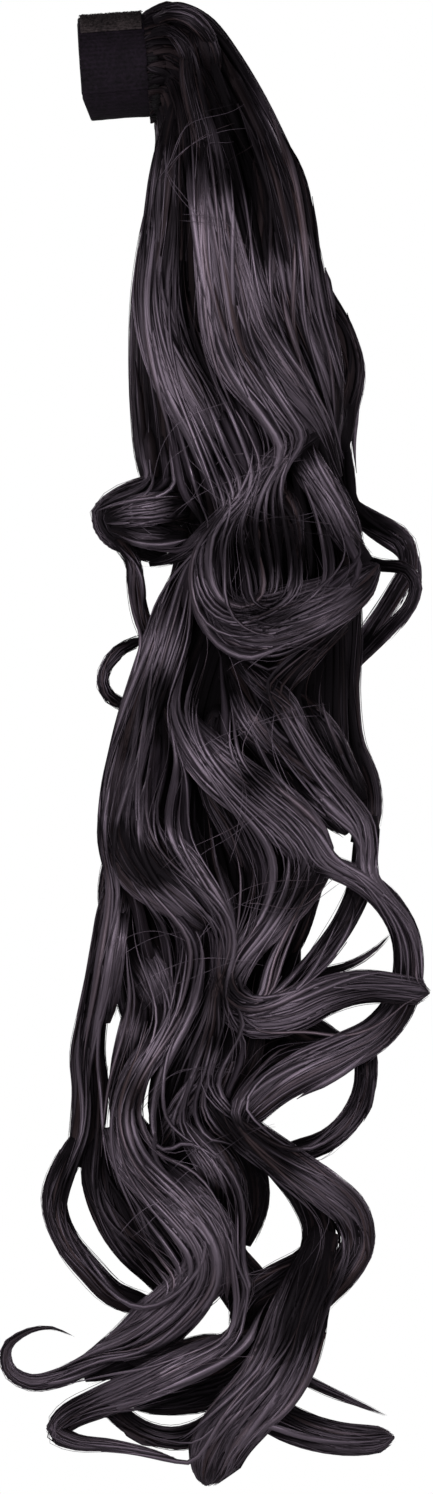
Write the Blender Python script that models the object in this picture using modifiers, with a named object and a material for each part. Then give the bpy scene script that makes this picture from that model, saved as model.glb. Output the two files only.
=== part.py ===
# A wrap-round ponytail hairpiece: a short cloth tube that closes with a pile fastener, a sewn weft edge
# round its far end, and long waved hair that goes over to the right and falls in curled locks.
# Lengths in the tables are millimetres. X is to the right, Z is up, and the tube's mouth is at the origin.

import math
from collections import namedtuple

import bmesh
import bpy
import numpy as np
from mathutils import Matrix, Vector

MM = 0.001

# The cloth tube, rolled from a strip whose outer end laps over itself
BAND_TILT = math.radians(4.0)
BAND_LENGTH = 25.6
BAND_INNER_RADIUS = 16.6
BAND_WALL = 1.9
FLAP_WALL = 1.6
FLAP_LENGTH = 25.0
PILE_WALL = 1.0
PILE_LENGTH = 23.0
CLOTH_GAP = 0.3
FLAP_FROM = math.radians(-30.0)
FLAP_TO = math.radians(215.0)
PILE_FROM = math.radians(39.0)
PILE_TO = math.radians(140.0)
BAND_STEPS = 40

# The sewn edge that carries the hair
WEFT_AT = 27.3
WEFT_RADIUS = 18.9
WEFT_HALF_THICKNESS = 1.35

# The hair body: round sections, and the gap kept between neighbouring locks
BODY_SIDES = 16
PLUG_GAP = 0.9
LOCK_GAP = 0.15
MIDDLE_GAP = 0.3
FINE_STEP = 0.5
EASE_STEPS = 20
BROAD_SIDES = 8
THIN_SIDES = 6
THIN_BELOW = 3.2

BodyRow = namedtuple("BodyRow", "inner_x inner_z outer_x outer_z half_depth hollow_share")

# Sections of the smooth upper fall, from the root ring over the bend and down
UPPER_FALL = [
    BodyRow(30.0, -18.0, 27.5, 22.6, 19.8, 0.82),
    BodyRow(29.2, -21.5, 38.5, 24.0, 20.5, 0.78),
    BodyRow(28.4, -26.0, 50.5, 18.0, 21.5, 0.68),
    BodyRow(27.6, -34.0, 62.5, 2.0, 23.0, 0.57),
    BodyRow(26.0, -47.0, 75.0, -21.0, 25.5, 0.48),
    BodyRow(22.2, -63.0, 85.5, -47.0, 28.0, 0.42),
    BodyRow(18.8, -84.0, 87.2, -74.0, 29.5, 0.40),
    BodyRow(17.6, -106.0, 92.0, -97.0, 29.5, 0.46),
    BodyRow(18.0, -130.0, 97.0, -115.0, 27.5, 0.58),
    BodyRow(20.5, -152.0, 100.0, -131.0, 24.0, 0.68),
    BodyRow(29.5, -176.0, 97.0, -146.0, 19.0, 0.76),
]

# Sections of the inner hair below the fall; above them it fills the fall's lower end
INNER_HAIR = [
    BodyRow(46.0, -188.0, 97.0, -185.0, 13.5, 0.0),
    BodyRow(38.0, -211.0, 98.0, -209.0, 13.5, 0.0),
    BodyRow(25.0, -240.0, 99.0, -240.0, 14.0, 0.0),
    BodyRow(18.0, -266.0, 99.0, -266.0, 14.0, 0.0),
    BodyRow(16.5, -290.0, 90.0, -290.0, 13.0, 0.0),
    BodyRow(18.0, -315.0, 83.0, -315.0, 12.5, 0.0),
    BodyRow(17.0, -345.0, 82.0, -345.0, 12.0, 0.0),
    BodyRow(22.0, -367.0, 79.0, -367.0, 11.0, 0.0),
    BodyRow(31.0, -384.0, 68.0, -384.0, 10.0, 0.0),
    BodyRow(30.0, -404.0, 66.0, -404.0, 9.5, 0.0),
    BodyRow(28.0, -420.0, 63.0, -420.0, 8.5, 0.0),
    BodyRow(36.0, -437.0, 62.0, -437.0, 7.5, 0.0),
    BodyRow(45.0, -452.0, 57.0, -452.0, 4.5, 0.0),
]

Lock = namedtuple("Lock", "name route widths")

# Locks in front of the body, the deepest first. A route is x, z along the lock; the widths are
# spread evenly along it, from where the lock leaves the mass to its tip.
FRONT_LOCKS = [
    Lock("root_fold", [(32, 13), (38, 15), (44, 12), (48, 4), (50, -6)], (6, 9, 10, 6)),
    Lock("crown_strand", [(42, 11), (40, 0), (42, -14), (46, -28), (49, -44), (49, -64), (48, -84)],
         (5, 8, 11, 12, 12, 8)),
    Lock("sweep_right", [(64, -18), (73, -44), (76, -72), (81, -96), (88, -118), (92, -138)],
         (8, 18, 22, 20, 10)),
    Lock("sweep_left", [(35, -30), (32, -60), (31, -88), (37, -112), (48, -134), (59, -154)],
         (9, 17, 21, 20, 10)),
    Lock("sweep_middle", [(56, -62), (54, -84), (60, -106), (73, -124), (86, -140), (94, -156)],
         (9, 17, 21, 18, 9)),
    Lock("inner_fan", [(68, -150), (72, -165), (75, -180), (74, -195)], (10, 18, 14)),
    Lock("under_crest", [(80, -142), (88, -155), (95, -167), (100, -178), (108, -186)], (12, 12, 6)),
    Lock("left_bun", [(34, -159), (24, -160.5), (14, -163), (8.5, -168.5), (12, -175), (22, -180), (34, -183)],
         (10, 10, 9, 6)),
    Lock("left_drop", [(14, -178), (20, -186), (21, -196), (23.5, -208), (27, -216), (32, -226)], (5, 6, 6)),
    Lock("left_ring", [(24, -215), (15, -219), (10, -225), (8.5, -231.5), (11, -236.5), (15, -239), (22, -241)],
         (4, 4, 4.5)),
    Lock("diagonal_c", [(76, -234), (90, -248), (98, -262), (105, -276)], (6, 9, 7)),
    Lock("curl_return", [(103, -198), (90, -209), (79, -220), (70, -230), (62, -240)], (10, 13, 8)),
    Lock("diagonal_b", [(56, -225), (62, -238), (71, -251), (83, -263), (95, -274), (103, -283)],
         (8, 14, 15, 9)),
    Lock("thin_tip", [(74, -344), (84, -342), (93, -339.5), (102, -336.5), (111, -331), (117, -325)],
         (4, 3, 1.4)),
    Lock("right_descender", [(108, -281), (105.5, -294), (101, -307), (95, -320), (89, -333), (80, -343),
                             (72, -350)], (10, 9, 9)),
    Lock("middle_wave", [(38, -258), (33, -272), (34, -286), (41, -299), (48, -312), (50, -328), (48, -345),
                         (41, -358), (33, -370)], (8, 14, 16, 14, 12)),
    Lock("left_mid", [(12, -292), (13.5, -310), (19, -328), (26, -342), (30, -355), (27, -368)],
         (9, 13, 12, 9)),
    Lock("left_edge", [(13, -304), (9.5, -321), (5.5, -340), (2, -355), (0.5, -371), (1, -386), (0, -400),
                       (-1, -413)], (8, 11, 9, 12, 12)),
    Lock("left_inner", [(22, -346), (17, -361), (13.5, -376), (13, -390), (15, -402), (21, -412)],
         (8, 10, 9, 9)),
    Lock("left_fall", [(44, -183), (37, -200), (30, -218), (22.5, -236), (16.5, -256), (14, -274), (15, -289),
                       (23, -302), (34, -312), (44, -325)], (10, 17, 21, 20, 14, 10)),
    Lock("diagonal_a", [(34, -238), (42, -252), (53, -264), (66, -274), (79, -284), (86, -295), (82, -308),
                        (72, -321), (61, -333), (55, -346)], (8, 15, 16, 15, 13, 9)),
    Lock("big_curl", [(49, -183), (49, -196), (56, -207), (69, -210), (82, -206), (95, -201), (108, -197)],
         (10, 16, 21, 16, 10)),
    Lock("crossing_lock", [(88, -137), (76, -146), (66, -157), (57, -168), (47, -177), (36, -184), (26, -187)],
         (8, 9, 8, 3)),
    Lock("bowl", [(40, -352), (29, -366), (20, -380), (17.5, -391), (24, -401), (36, -406.5), (50, -408),
                  (64, -404), (73, -396)], (12, 10, 9, 9, 8)),
    Lock("center_s", [(63, -350), (60, -366), (53, -380), (45, -392), (36, -403), (27, -412)],
         (10, 16, 18, 10)),
    Lock("low_ring", [(104, -360), (107, -373), (106, -385), (101, -395), (92, -403), (81, -407), (69, -411)],
         (9, 8, 8, 9)),
    Lock("right_arc", [(84, -298), (95, -300.5), (105, -305), (115, -313.5), (121.5, -325), (123, -338),
                       (120, -351), (111, -362), (98, -370), (85, -377), (72, -386), (60, -396), (47, -403)],
         (8, 9, 10, 11, 13, 16, 14, 8)),
    Lock("right_tip", [(70, -324), (60, -334), (55, -345), (63, -355), (78, -354), (92, -348), (105, -345),
                       (118, -346), (132, -348)], (10, 12, 14, 16, 12, 9, 4)),
    Lock("low_left_inner", [(4, -408), (6, -420), (12, -431), (20, -441), (29, -451), (36, -460)],
         (12, 13, 12, 10)),
    Lock("low_middle", [(20, -413), (27, -426), (35, -438), (42, -449), (45, -460)], (10, 15, 10)),
    Lock("far_left_curl", [(26, -470), (13, -479), (3, -486.5), (-8, -491.5), (-19, -493), (-26.5, -488.5),
                           (-27.5, -480.5), (-21, -475), (-11, -473), (-2, -476.5)],
         (9, 8, 7.5, 6, 4, 2, 1.3)),
    Lock("left_loop", [(3, -399), (-5, -411), (-9.5, -425), (-5, -440), (4, -451.5), (13, -460.5), (25, -465)],
         (9, 9, 9, 10)),
    Lock("low_center", [(54, -436), (58, -448), (65, -458), (71, -468), (73, -480), (68, -490)],
         (10, 14, 14, 10)),
    Lock("right_inner_loop", [(64, -401), (75, -412), (84, -423), (89.5, -435), (88, -447), (82, -457),
                              (75, -467)], (9, 10, 12, 12, 10)),
    Lock("right_loop", [(64, -394), (79, -405), (93, -417), (102.5, -428), (104, -441), (98, -451.5),
                        (90, -460), (84, -468)], (10, 15, 14, 12, 12, 12)),
    Lock("low_s", [(14, -396), (19, -408), (29, -417), (40, -427), (48, -438), (48, -449), (41, -458),
                   (31, -466), (20, -473), (7, -480)], (9, 14, 16, 16, 14, 12)),
    Lock("stray_lock", [(66, -482), (77, -490), (88, -496.5), (101, -502), (115, -507)], (5, 4, 3, 2.6, 1.4)),
    Lock("low_hoop", [(6, -496), (13, -504), (23, -511), (36, -514), (47, -511), (56, -503), (62, -495)],
         (8, 7, 9, 9)),
    Lock("tail_tip", [(60, -492), (70, -501), (84, -508), (98, -512), (110, -513), (118, -512.5)],
         (12, 16, 17, 14, 10)),
    Lock("dark_sweep", [(80, -478), (68, -485), (54, -491.5), (40, -496), (27, -498.5), (15, -497)],
         (13, 15, 14, 7)),
    Lock("low_trunk", [(84, -452), (81, -466), (78, -479), (72, -491), (63, -502), (54, -512), (48, -523),
                       (45, -533)], (12, 17, 19, 18, 15, 10)),
    Lock("pointed_loop", [(66, -473), (52, -479), (38, -486), (22, -494), (7, -501), (-5, -507), (-9.5, -511.5),
                          (-3, -515), (12, -516.5), (26, -519), (39, -523)], (4, 11, 13, 12, 10, 5, 5, 3)),
]

# Locks behind the body, the deepest first
BACK_LOCKS = [
    Lock("right_bulge", [(80, -62), (89, -84), (97, -100), (100, -114), (98, -129), (96, -144)],
         (8, 11, 14, 11)),
    Lock("back_sweep", [(58, -30), (56, -58), (50, -86), (52, -112), (62, -136), (70, -158)],
         (8, 20, 24, 22, 12)),
    Lock("right_side", [(94, -136), (96, -155), (96, -175), (97, -195), (98, -215), (98, -236), (101, -255),
                        (107, -270), (108, -281), (105, -292)], (14, 16, 16, 14, 12, 10)),
    Lock("right_hook_outer", [(102, -183), (113, -187), (122.5, -188.5), (126, -193.5), (124, -202),
                              (116, -211), (107, -220), (96, -230)], (6, 6, 6)),
    Lock("right_hook", [(94, -160), (104, -167.5), (114, -173), (121.5, -178), (123.5, -187), (118, -198),
                        (110, -210), (101, -222), (91, -233)], (10, 10, 8, 8, 8)),
    Lock("back_fall_right", [(88, -150), (90, -175), (82, -200), (79, -225), (86, -248), (89, -270),
                             (78, -292)], (12, 18, 20, 18, 12)),
    Lock("back_fall_left", [(40, -168), (33, -190), (27, -215), (25, -240), (31, -262), (35, -285), (27, -308),
                            (20, -330)], (12, 20, 22, 20, 12)),
    Lock("back_wave_left", [(24, -322), (21, -345), (31, -368), (44, -388), (44, -408), (37, -428)],
         (10, 17, 18, 14, 9)),
    Lock("back_fall_middle", [(66, -165), (57, -190), (62, -215), (72, -238), (68, -262), (56, -285),
                              (51, -308), (59, -330), (67, -350)], (14, 22, 24, 22, 14)),
    Lock("back_wave_right", [(72, -337), (62, -360), (51, -384), (53, -405), (59, -425), (55, -445)],
         (10, 17, 18, 14, 9)),
]

# Plain colours of the materials
HAIR = (0.016, 0.014, 0.016)
DEEP_HAIR = (0.009, 0.008, 0.009)
BAND_CLOTH = (0.012, 0.012, 0.014)
PILE = (0.050, 0.045, 0.045)
WEFT = (0.010, 0.009, 0.010)


def clear_scene():
    for thing in list(bpy.data.objects):
        bpy.data.objects.remove(thing, do_unlink=True)


def material(name, colour, roughness):
    made = bpy.data.materials.new(name)
    made.use_nodes = True
    shader = made.node_tree.nodes["Principled BSDF"]
    shader.inputs["Base Color"].default_value = (*colour, 1.0)
    shader.inputs["Roughness"].default_value = roughness
    made.diffuse_color = (*colour, 1.0)
    return made


def finish(thing, collection, made_of):
    for owner in list(thing.users_collection):
        owner.objects.unlink(thing)
    collection.objects.link(thing)
    thing.data.materials.clear()
    thing.data.materials.append(made_of)
    return thing


def smooth_route(lock, step):
    """Evenly spaced x, z along the route, as a cubic through its points, with the lock's width at each."""
    points = np.array(lock.route, float)
    chord = np.linalg.norm(np.diff(points, axis=0), axis=1)
    at = np.concatenate([[0.0], np.cumsum(chord)])
    slope = np.gradient(points, at, axis=0)
    dense = np.linspace(0.0, at[-1], max(40, int(at[-1] * 4)))
    cell = np.clip(np.searchsorted(at, dense, side="right") - 1, 0, len(at) - 2)
    span = (at[1:] - at[:-1])[cell][:, None]
    u = ((dense - at[cell]) / (at[1:] - at[:-1])[cell])[:, None]
    curve = (2 * u**3 - 3 * u**2 + 1) * points[cell]
    curve = curve + (u**3 - 2 * u**2 + u) * span * slope[cell]
    curve = curve + (3 * u**2 - 2 * u**3) * points[cell + 1]
    curve = curve + (u**3 - u**2) * span * slope[cell + 1]
    walked = np.concatenate([[0.0], np.cumsum(np.linalg.norm(np.diff(curve, axis=0), axis=1))])
    count = max(6, int(round(walked[-1] / step)) + 1)
    even = np.linspace(0.0, walked[-1], count)
    x = np.interp(even, walked, curve[:, 0])
    z = np.interp(even, walked, curve[:, 1])
    share = np.linspace(0.0, 1.0, count)
    width = np.interp(share, np.linspace(0.0, 1.0, len(lock.widths)), lock.widths)
    # Each end is drawn in, so that no lock stops as a flat cut
    ends = np.minimum(share, 1.0 - share) * even[-1]
    width = width * (0.45 + 0.55 * np.sqrt(np.clip(ends / (0.5 * width + 0.01), 0.0, 1.0)))
    return x, z, width, even


def side_vectors(x, z):
    along = np.stack([np.gradient(x), np.gradient(z)], axis=1)
    along = along / np.linalg.norm(along, axis=1)[:, None]
    return np.stack([-along[:, 1], along[:, 0]], axis=1), along


def bend_radius(x, z, even):
    _, along = side_vectors(x, z)
    turn = np.unwrap(np.arctan2(along[:, 1], along[:, 0]))
    rate = np.abs(np.gradient(turn, even))
    rate = np.convolve(np.pad(rate, 2, mode="edge"), np.ones(5) / 5.0, mode="valid")
    return 1.0 / np.maximum(rate, 1e-4)


def eased(values, reach):
    """The highest neighbour within reach, then averaged over it: never below the values given."""
    padded = np.pad(values, reach, mode="edge")
    highest = np.array([padded[i:i + 2 * reach + 1].max() for i in range(len(values))])
    padded = np.pad(highest, reach, mode="edge")
    return np.convolve(padded, np.ones(2 * reach + 1) / (2 * reach + 1), mode="valid")


class DepthField:
    """How far the hair already laid reaches from the middle plane, on a grid over X and Z."""

    LEFT, LOW, WIDE, HIGH = -60, -560, 480, 1240

    def __init__(self):
        self.reach = np.full((self.WIDE, self.HIGH), MIDDLE_GAP)

    def cells(self, x, z):
        column = np.clip(np.floor((x - self.LEFT) / FINE_STEP).astype(int), 0, self.WIDE - 2)
        row = np.clip(np.floor((z - self.LOW) / FINE_STEP).astype(int), 0, self.HIGH - 2)
        return column, row

    def highest(self, x, z):
        column, row = self.cells(x, z)
        first = np.maximum(self.reach[column, row], self.reach[column + 1, row])
        second = np.maximum(self.reach[column, row + 1], self.reach[column + 1, row + 1])
        return np.maximum(first, second)

    def lay(self, x, z, depth):
        column, row = self.cells(x, z)
        for step_x in (0, 1):
            for step_z in (0, 1):
                np.maximum.at(self.reach, (column + step_x, row + step_z), depth)


def arch(across, sides):
    """Height over the middle of a flat-sided section of unit size, at a share of its half width."""
    turn = 2 * np.pi * np.arange(sides // 4 + 1) / sides
    top = np.array([np.cos(turn), np.sin(turn)])[:, ::-1]
    return np.interp(np.abs(across), top[0], top[1])


def body_grid(rows, steps):
    """Fine x, z and depth over the near half of a body, by blending its sections."""
    table = np.array([row[:5] for row in rows])
    share = np.linspace(0.0, len(rows) - 1, steps)
    fine = np.stack([np.interp(share, np.arange(len(rows)), table[:, k]) for k in range(5)], axis=1)
    across = np.linspace(-1.0, 1.0, 241)
    half_x = (fine[:, 2] - fine[:, 0]) / 2
    half_z = (fine[:, 3] - fine[:, 1]) / 2
    x = (fine[:, 0] + half_x)[:, None] + half_x[:, None] * across
    z = (fine[:, 1] + half_z)[:, None] + half_z[:, None] * across
    depth = fine[:, 4][:, None] * arch(across, BODY_SIDES)
    return x, z, depth


def lock_half_depth(width):
    return 0.5 * np.minimum(0.9 * width, 1.5 + 0.36 * width)


def lay_lock(lock, field):
    """The lock's centre line, half width and half depth, set down on the hair already in the field."""
    x, z, width, even = smooth_route(lock, FINE_STEP)
    width = np.minimum(width, 1.6 * bend_radius(x, z, even))
    half = 0.5 * np.convolve(np.pad(width, 2, mode="edge"), np.ones(5) / 5.0, mode="valid")
    thick = lock_half_depth(2 * half)
    side, _ = side_vectors(x, z)
    sides = BROAD_SIDES if half.max() > THIN_BELOW else THIN_SIDES
    across = np.linspace(-1.0, 1.0, 57)
    profile = arch(across, sides)
    foot_x = x[:, None] + side[:, :1] * half[:, None] * across
    foot_z = z[:, None] + side[:, 1:] * half[:, None] * across
    needed = field.highest(foot_x, foot_z) + thick[:, None] * profile
    height = eased(needed.max(axis=1) + LOCK_GAP, EASE_STEPS)
    between = np.linspace(0.0, len(x) - 1, 2 * len(x))
    fine = [np.interp(between, np.arange(len(x)), v) for v in (x, z, half, thick, height)]
    fine_side = np.stack([np.interp(between, np.arange(len(x)), side[:, k]) for k in (0, 1)], axis=1)
    foot_x = fine[0][:, None] + fine_side[:, :1] * fine[2][:, None] * across
    foot_z = fine[1][:, None] + fine_side[:, 1:] * fine[2][:, None] * across
    field.lay(foot_x, foot_z, fine[4][:, None] + fine[3][:, None] * profile)
    return x, z, height, half, thick, side, even, sides


def ring_places(x, z, even, half):
    """Indexes of the sections to keep: closer where the lock bends hard."""
    wanted = np.clip(0.55 * bend_radius(x, z, even) + 0.25 * half, 3.2, 10.5)
    density = np.concatenate([[0.0], np.cumsum(np.diff(even) / wanted[1:])])
    count = max(5, int(math.ceil(density[-1])) + 1)
    chosen = np.interp(np.linspace(0.0, density[-1], count), density, np.arange(len(x)))
    return np.unique(np.round(chosen).astype(int))


def loft(name, rings, through=None):
    """A closed body over rings of points; a second set of rings leaves it hollow from end to end."""
    mesh = bmesh.new()
    sides = len(rings[0])

    def walls(loops, outward):
        laid = [[mesh.verts.new(Vector(p) * MM) for p in ring] for ring in loops]
        for low, high in zip(laid[:-1], laid[1:]):
            for k in range(sides):
                corners = [low[k], low[(k + 1) % sides], high[(k + 1) % sides], high[k]]
                mesh.faces.new(corners if outward else corners[::-1])
        return laid

    outer = walls(rings, True)
    if through is None:
        mesh.faces.new(outer[0][::-1])
        mesh.faces.new(outer[-1])
    else:
        inner = walls(through, False)
        for k in range(sides):
            turn = (k + 1) % sides
            mesh.faces.new([outer[0][turn], outer[0][k], inner[0][k], inner[0][turn]])
            mesh.faces.new([outer[-1][k], outer[-1][turn], inner[-1][turn], inner[-1][k]])
    bmesh.ops.recalc_face_normals(mesh, faces=mesh.faces)
    data = bpy.data.meshes.new(name)
    mesh.to_mesh(data)
    mesh.free()
    data.update()
    thing = bpy.data.objects.new(name, data)
    for face in data.polygons:
        face.use_smooth = True
    return thing


def shrunk(row):
    """The section that fills the hollow of a section of the fall, with a small gap all round."""
    middle = ((row.inner_x + row.outer_x) / 2, (row.inner_z + row.outer_z) / 2)
    long_way = math.hypot(row.outer_x - row.inner_x, row.outer_z - row.inner_z) / 2
    share = row.hollow_share - PLUG_GAP / long_way
    return BodyRow(middle[0] + (row.inner_x - middle[0]) * share,
                   middle[1] + (row.inner_z - middle[1]) * share,
                   middle[0] + (row.outer_x - middle[0]) * share,
                   middle[1] + (row.outer_z - middle[1]) * share,
                   row.half_depth * row.hollow_share - PLUG_GAP, 0.0)


def body_ring(row, scale):
    """One section of a body as points, its size scaled."""
    middle = np.array([(row.inner_x + row.outer_x) / 2, (row.inner_z + row.outer_z) / 2])
    reach = np.array([(row.outer_x - row.inner_x) / 2, (row.outer_z - row.inner_z) / 2]) * scale
    deep = row.half_depth * scale
    points = []
    for k in range(BODY_SIDES):
        turn = 2 * math.pi * k / BODY_SIDES
        x, z = middle + reach * math.cos(turn)
        points.append((x, deep * math.sin(turn), z))
    return points


def make_lock(lock, field, away, collection, made_of):
    x, z, height, half, thick, side, even, sides = lay_lock(lock, field)
    keep = ring_places(x, z, even, half)
    rings = []
    for i in keep:
        ring = []
        for k in range(sides):
            turn = 2 * math.pi * k / sides
            out = half[i] * math.cos(turn)
            ring.append((x[i] + side[i, 0] * out,
                         away * (height[i] + thick[i] * math.sin(turn)),
                         z[i] + side[i, 1] * out))
        rings.append(ring)
    return finish(loft(lock.name, rings), collection, made_of)


def band_place():
    """Turns a shape made round Z so that its axis is the band's, a little above X."""
    return Matrix.Rotation(-BAND_TILT, 4, "Y") @ Matrix.Rotation(math.pi / 2, 4, "Y")


def arc_wall(name, radius, wall, start, stop, from_x, length, collection, made_of):
    """Cloth lying on a cylinder between two angles, counted from the front upwards."""
    bpy.ops.mesh.primitive_cylinder_add(vertices=BAND_STEPS, radius=radius * MM, depth=length * MM,
                                        end_fill_type="NOTHING", location=(0, 0, 0))
    thing = bpy.context.object
    thing.name = name
    thing.data.name = name
    sheet = bmesh.new()
    sheet.from_mesh(thing.data)
    place = band_place() @ Matrix.Translation((0, 0, (from_x + length / 2) * MM))
    sheet.transform(place)
    unwanted = []
    flat = Matrix.Rotation(BAND_TILT, 4, "Y")
    for face in sheet.faces:
        centre = flat @ face.calc_center_median()
        turn = math.atan2(centre.z, -centre.y)
        while turn < start:
            turn += 2 * math.pi
        if turn > stop:
            unwanted.append(face)
    if unwanted:
        bmesh.ops.delete(sheet, geom=unwanted, context="FACES")
    sheet.to_mesh(thing.data)
    sheet.free()
    wall_of = thing.modifiers.new("wall", "SOLIDIFY")
    wall_of.thickness = wall * MM
    wall_of.offset = 1.0
    wall_of.use_even_offset = True
    return finish(thing, collection, made_of)


clear_scene()
home = bpy.data.collections.new("ponytail_hairpiece")
bpy.context.scene.collection.children.link(home)

hair = material("hair", HAIR, 0.38)
deep_hair = material("deep_hair", DEEP_HAIR, 0.45)
cloth = material("band_cloth", BAND_CLOTH, 0.85)
pile = material("fastener_pile", PILE, 0.95)
weft = material("weft", WEFT, 0.8)

# The tube of cloth, the lap over it and the strip of pile on the lap
FULL_TURN = 2 * math.pi + 0.01
arc_wall("wrap_band", BAND_INNER_RADIUS, BAND_WALL, -math.pi, FULL_TURN, 0.0, BAND_LENGTH, home, cloth)
lap_radius = BAND_INNER_RADIUS + BAND_WALL + CLOTH_GAP
arc_wall("closing_flap", lap_radius, FLAP_WALL, FLAP_FROM, FLAP_TO, 0.3, FLAP_LENGTH, home, cloth)
pile_radius = lap_radius + FLAP_WALL + CLOTH_GAP
arc_wall("pile_strip", pile_radius, PILE_WALL, PILE_FROM, PILE_TO, 1.2, PILE_LENGTH, home, pile)

# The sewn edge
bpy.ops.mesh.primitive_torus_add(major_radius=WEFT_RADIUS * MM, minor_radius=WEFT_HALF_THICKNESS * MM,
                                 major_segments=40, minor_segments=8, location=(0, 0, 0))
edge = bpy.context.object
edge.name = "weft_edge"
edge.data.name = "weft_edge"
edge.data.transform(band_place() @ Matrix.Translation((0, 0, WEFT_AT * MM)))
finish(edge, home, weft)

# The smooth upper fall, hollow from its root to its lower end, and the inner hair that fills that end
fall_outer = [body_ring(row, 1.0) for row in UPPER_FALL]
fall_inner = [body_ring(row, row.hollow_share) for row in UPPER_FALL]
finish(loft("upper_fall", fall_outer, fall_inner), home, hair)
inner_rows = [shrunk(row) for row in UPPER_FALL[-3:]] + INNER_HAIR
finish(loft("inner_hair", [body_ring(row, 1.0) for row in inner_rows]), home, deep_hair)

# The locks, laid one over another in front of the body and then behind it
for locks, away in ((FRONT_LOCKS, -1.0), (BACK_LOCKS, 1.0)):
    laid = DepthField()
    laid.lay(*body_grid(UPPER_FALL, 700))
    laid.lay(*body_grid(inner_rows[2:], 900))
    for each in locks:
        make_lock(each, laid, away, home, hair)
    print("reach from the middle plane, mm:", round(float(laid.reach.max()), 1))

print(len(home.objects), "pieces")
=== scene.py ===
# %% [markdown]
# A false ponytail is a great many thin fibres, but the eye reads it as locks: flat bundles that wave, cross
# one another and thin out to a curl. Modelling every fibre would be slow and would still need a plan for
# where each one goes. So this lesson builds the plan first, as a table of locks, lays the locks one over
# another, and then covers each lock with flat tufts and single strands. The short cloth tube at the top,
# which wraps round the wearer's own hair, is rolled from strips at the end.

import math
from collections import namedtuple

import bpy
import numpy as np
from mathutils import Matrix, Vector, noise


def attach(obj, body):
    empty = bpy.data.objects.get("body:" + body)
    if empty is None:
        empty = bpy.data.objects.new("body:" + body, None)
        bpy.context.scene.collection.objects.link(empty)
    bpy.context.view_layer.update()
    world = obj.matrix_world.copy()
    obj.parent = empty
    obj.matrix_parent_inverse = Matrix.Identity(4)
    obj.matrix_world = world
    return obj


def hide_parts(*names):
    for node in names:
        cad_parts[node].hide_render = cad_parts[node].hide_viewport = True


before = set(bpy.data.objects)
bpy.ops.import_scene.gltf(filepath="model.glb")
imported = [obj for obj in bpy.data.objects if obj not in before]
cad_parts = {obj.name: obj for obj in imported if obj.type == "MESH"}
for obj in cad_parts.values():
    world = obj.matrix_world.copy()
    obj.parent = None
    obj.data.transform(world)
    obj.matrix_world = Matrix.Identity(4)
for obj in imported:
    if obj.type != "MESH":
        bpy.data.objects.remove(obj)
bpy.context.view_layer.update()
MM = 0.001

# %% [markdown]
# Shader maths is easier to read as sums than as a web of nodes. The class below wraps one socket, so that
# adding or multiplying two values adds the Math node that does it. Every other node comes from one method.

# %% Write shader maths as sums


class Value:
    """One socket of a finish, which can stand in a sum."""

    def __init__(self, finish, socket):
        self.finish = finish
        self.socket = socket

    def maths(self, operation, first, second):
        return self.finish.node("ShaderNodeMath", {"operation": operation}, {0: first, 1: second})

    def __add__(self, other):
        return self.maths("ADD", self, other)

    def __radd__(self, other):
        return self.maths("ADD", other, self)

    def __sub__(self, other):
        return self.maths("SUBTRACT", self, other)

    def __rsub__(self, other):
        return self.maths("SUBTRACT", other, self)

    def __mul__(self, other):
        return self.maths("MULTIPLY", self, other)

    def __rmul__(self, other):
        return self.maths("MULTIPLY", other, self)


class Finish:
    """A material and the nodes that make it."""

    def __init__(self, name):
        self.material = bpy.data.materials.new(name)
        self.material.use_nodes = True
        self.tree = self.material.node_tree
        self.shader = self.tree.nodes["Principled BSDF"]

    def node(self, kind, settings, values, output=0):
        made = self.tree.nodes.new(kind)
        for name, value in settings.items():
            setattr(made, name, value)
        for key, value in values.items():
            if isinstance(value, Value):
                self.tree.links.new(value.socket, made.inputs[key])
            else:
                made.inputs[key].default_value = value
        return Value(self, made.outputs[output])

    def blend(self, share, first, second):
        colours = [c if isinstance(c, Value) else (*c, 1.0) for c in (first, second)]
        return self.node("ShaderNodeMix", {"data_type": "RGBA"}, {0: share, 6: colours[0], 7: colours[1]}, 2)

    def noise(self, place, scale, detail=2.0, rough=0.5):
        values = {"Vector": place, "Scale": scale, "Detail": detail, "Roughness": rough}
        return self.node("ShaderNodeTexNoise", {}, values, "Fac")

    def give(self, **values):
        """Sets the shader's sockets; an underscore in a name stands for a space."""
        for name, value in values.items():
            socket = self.shader.inputs[name.replace("_", " ")]
            if isinstance(value, Value):
                self.tree.links.new(value.socket, socket)
            else:
                socket.default_value = value

    def raise_by(self, height, distance, strength=1.0):
        values = {"Height": height, "Distance": distance, "Strength": strength}
        self.give(Normal=self.node("ShaderNodeBump", {}, values))


print("shader helpers ready")

# %% [markdown]
# Hair shines in long narrow streaks, because light that falls on a bundle of parallel cylinders spreads
# across them and not along them. The tufts in the mesh give the broad streaks. This finish adds the fine
# ones: noise that is stretched thirty to seventy times along the hair's own UV map, used for the colour,
# the gloss and the bump. A fibre's shine has the fibre's colour, so Metallic is high, and strands of
# different colour then shine unevenly, as real ones do. Each point also carries a number, crest, that is
# high where it stands out of the tail and low in the hollows. The colour goes almost black in the hollows
# and lighter on the crests: that is painted shade and painted light, standing in for the shadow and light
# in a thick bunch of dark hair, and with Metallic so high it dims the shine in the hollows as well.

# %% The hair's finish


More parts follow.
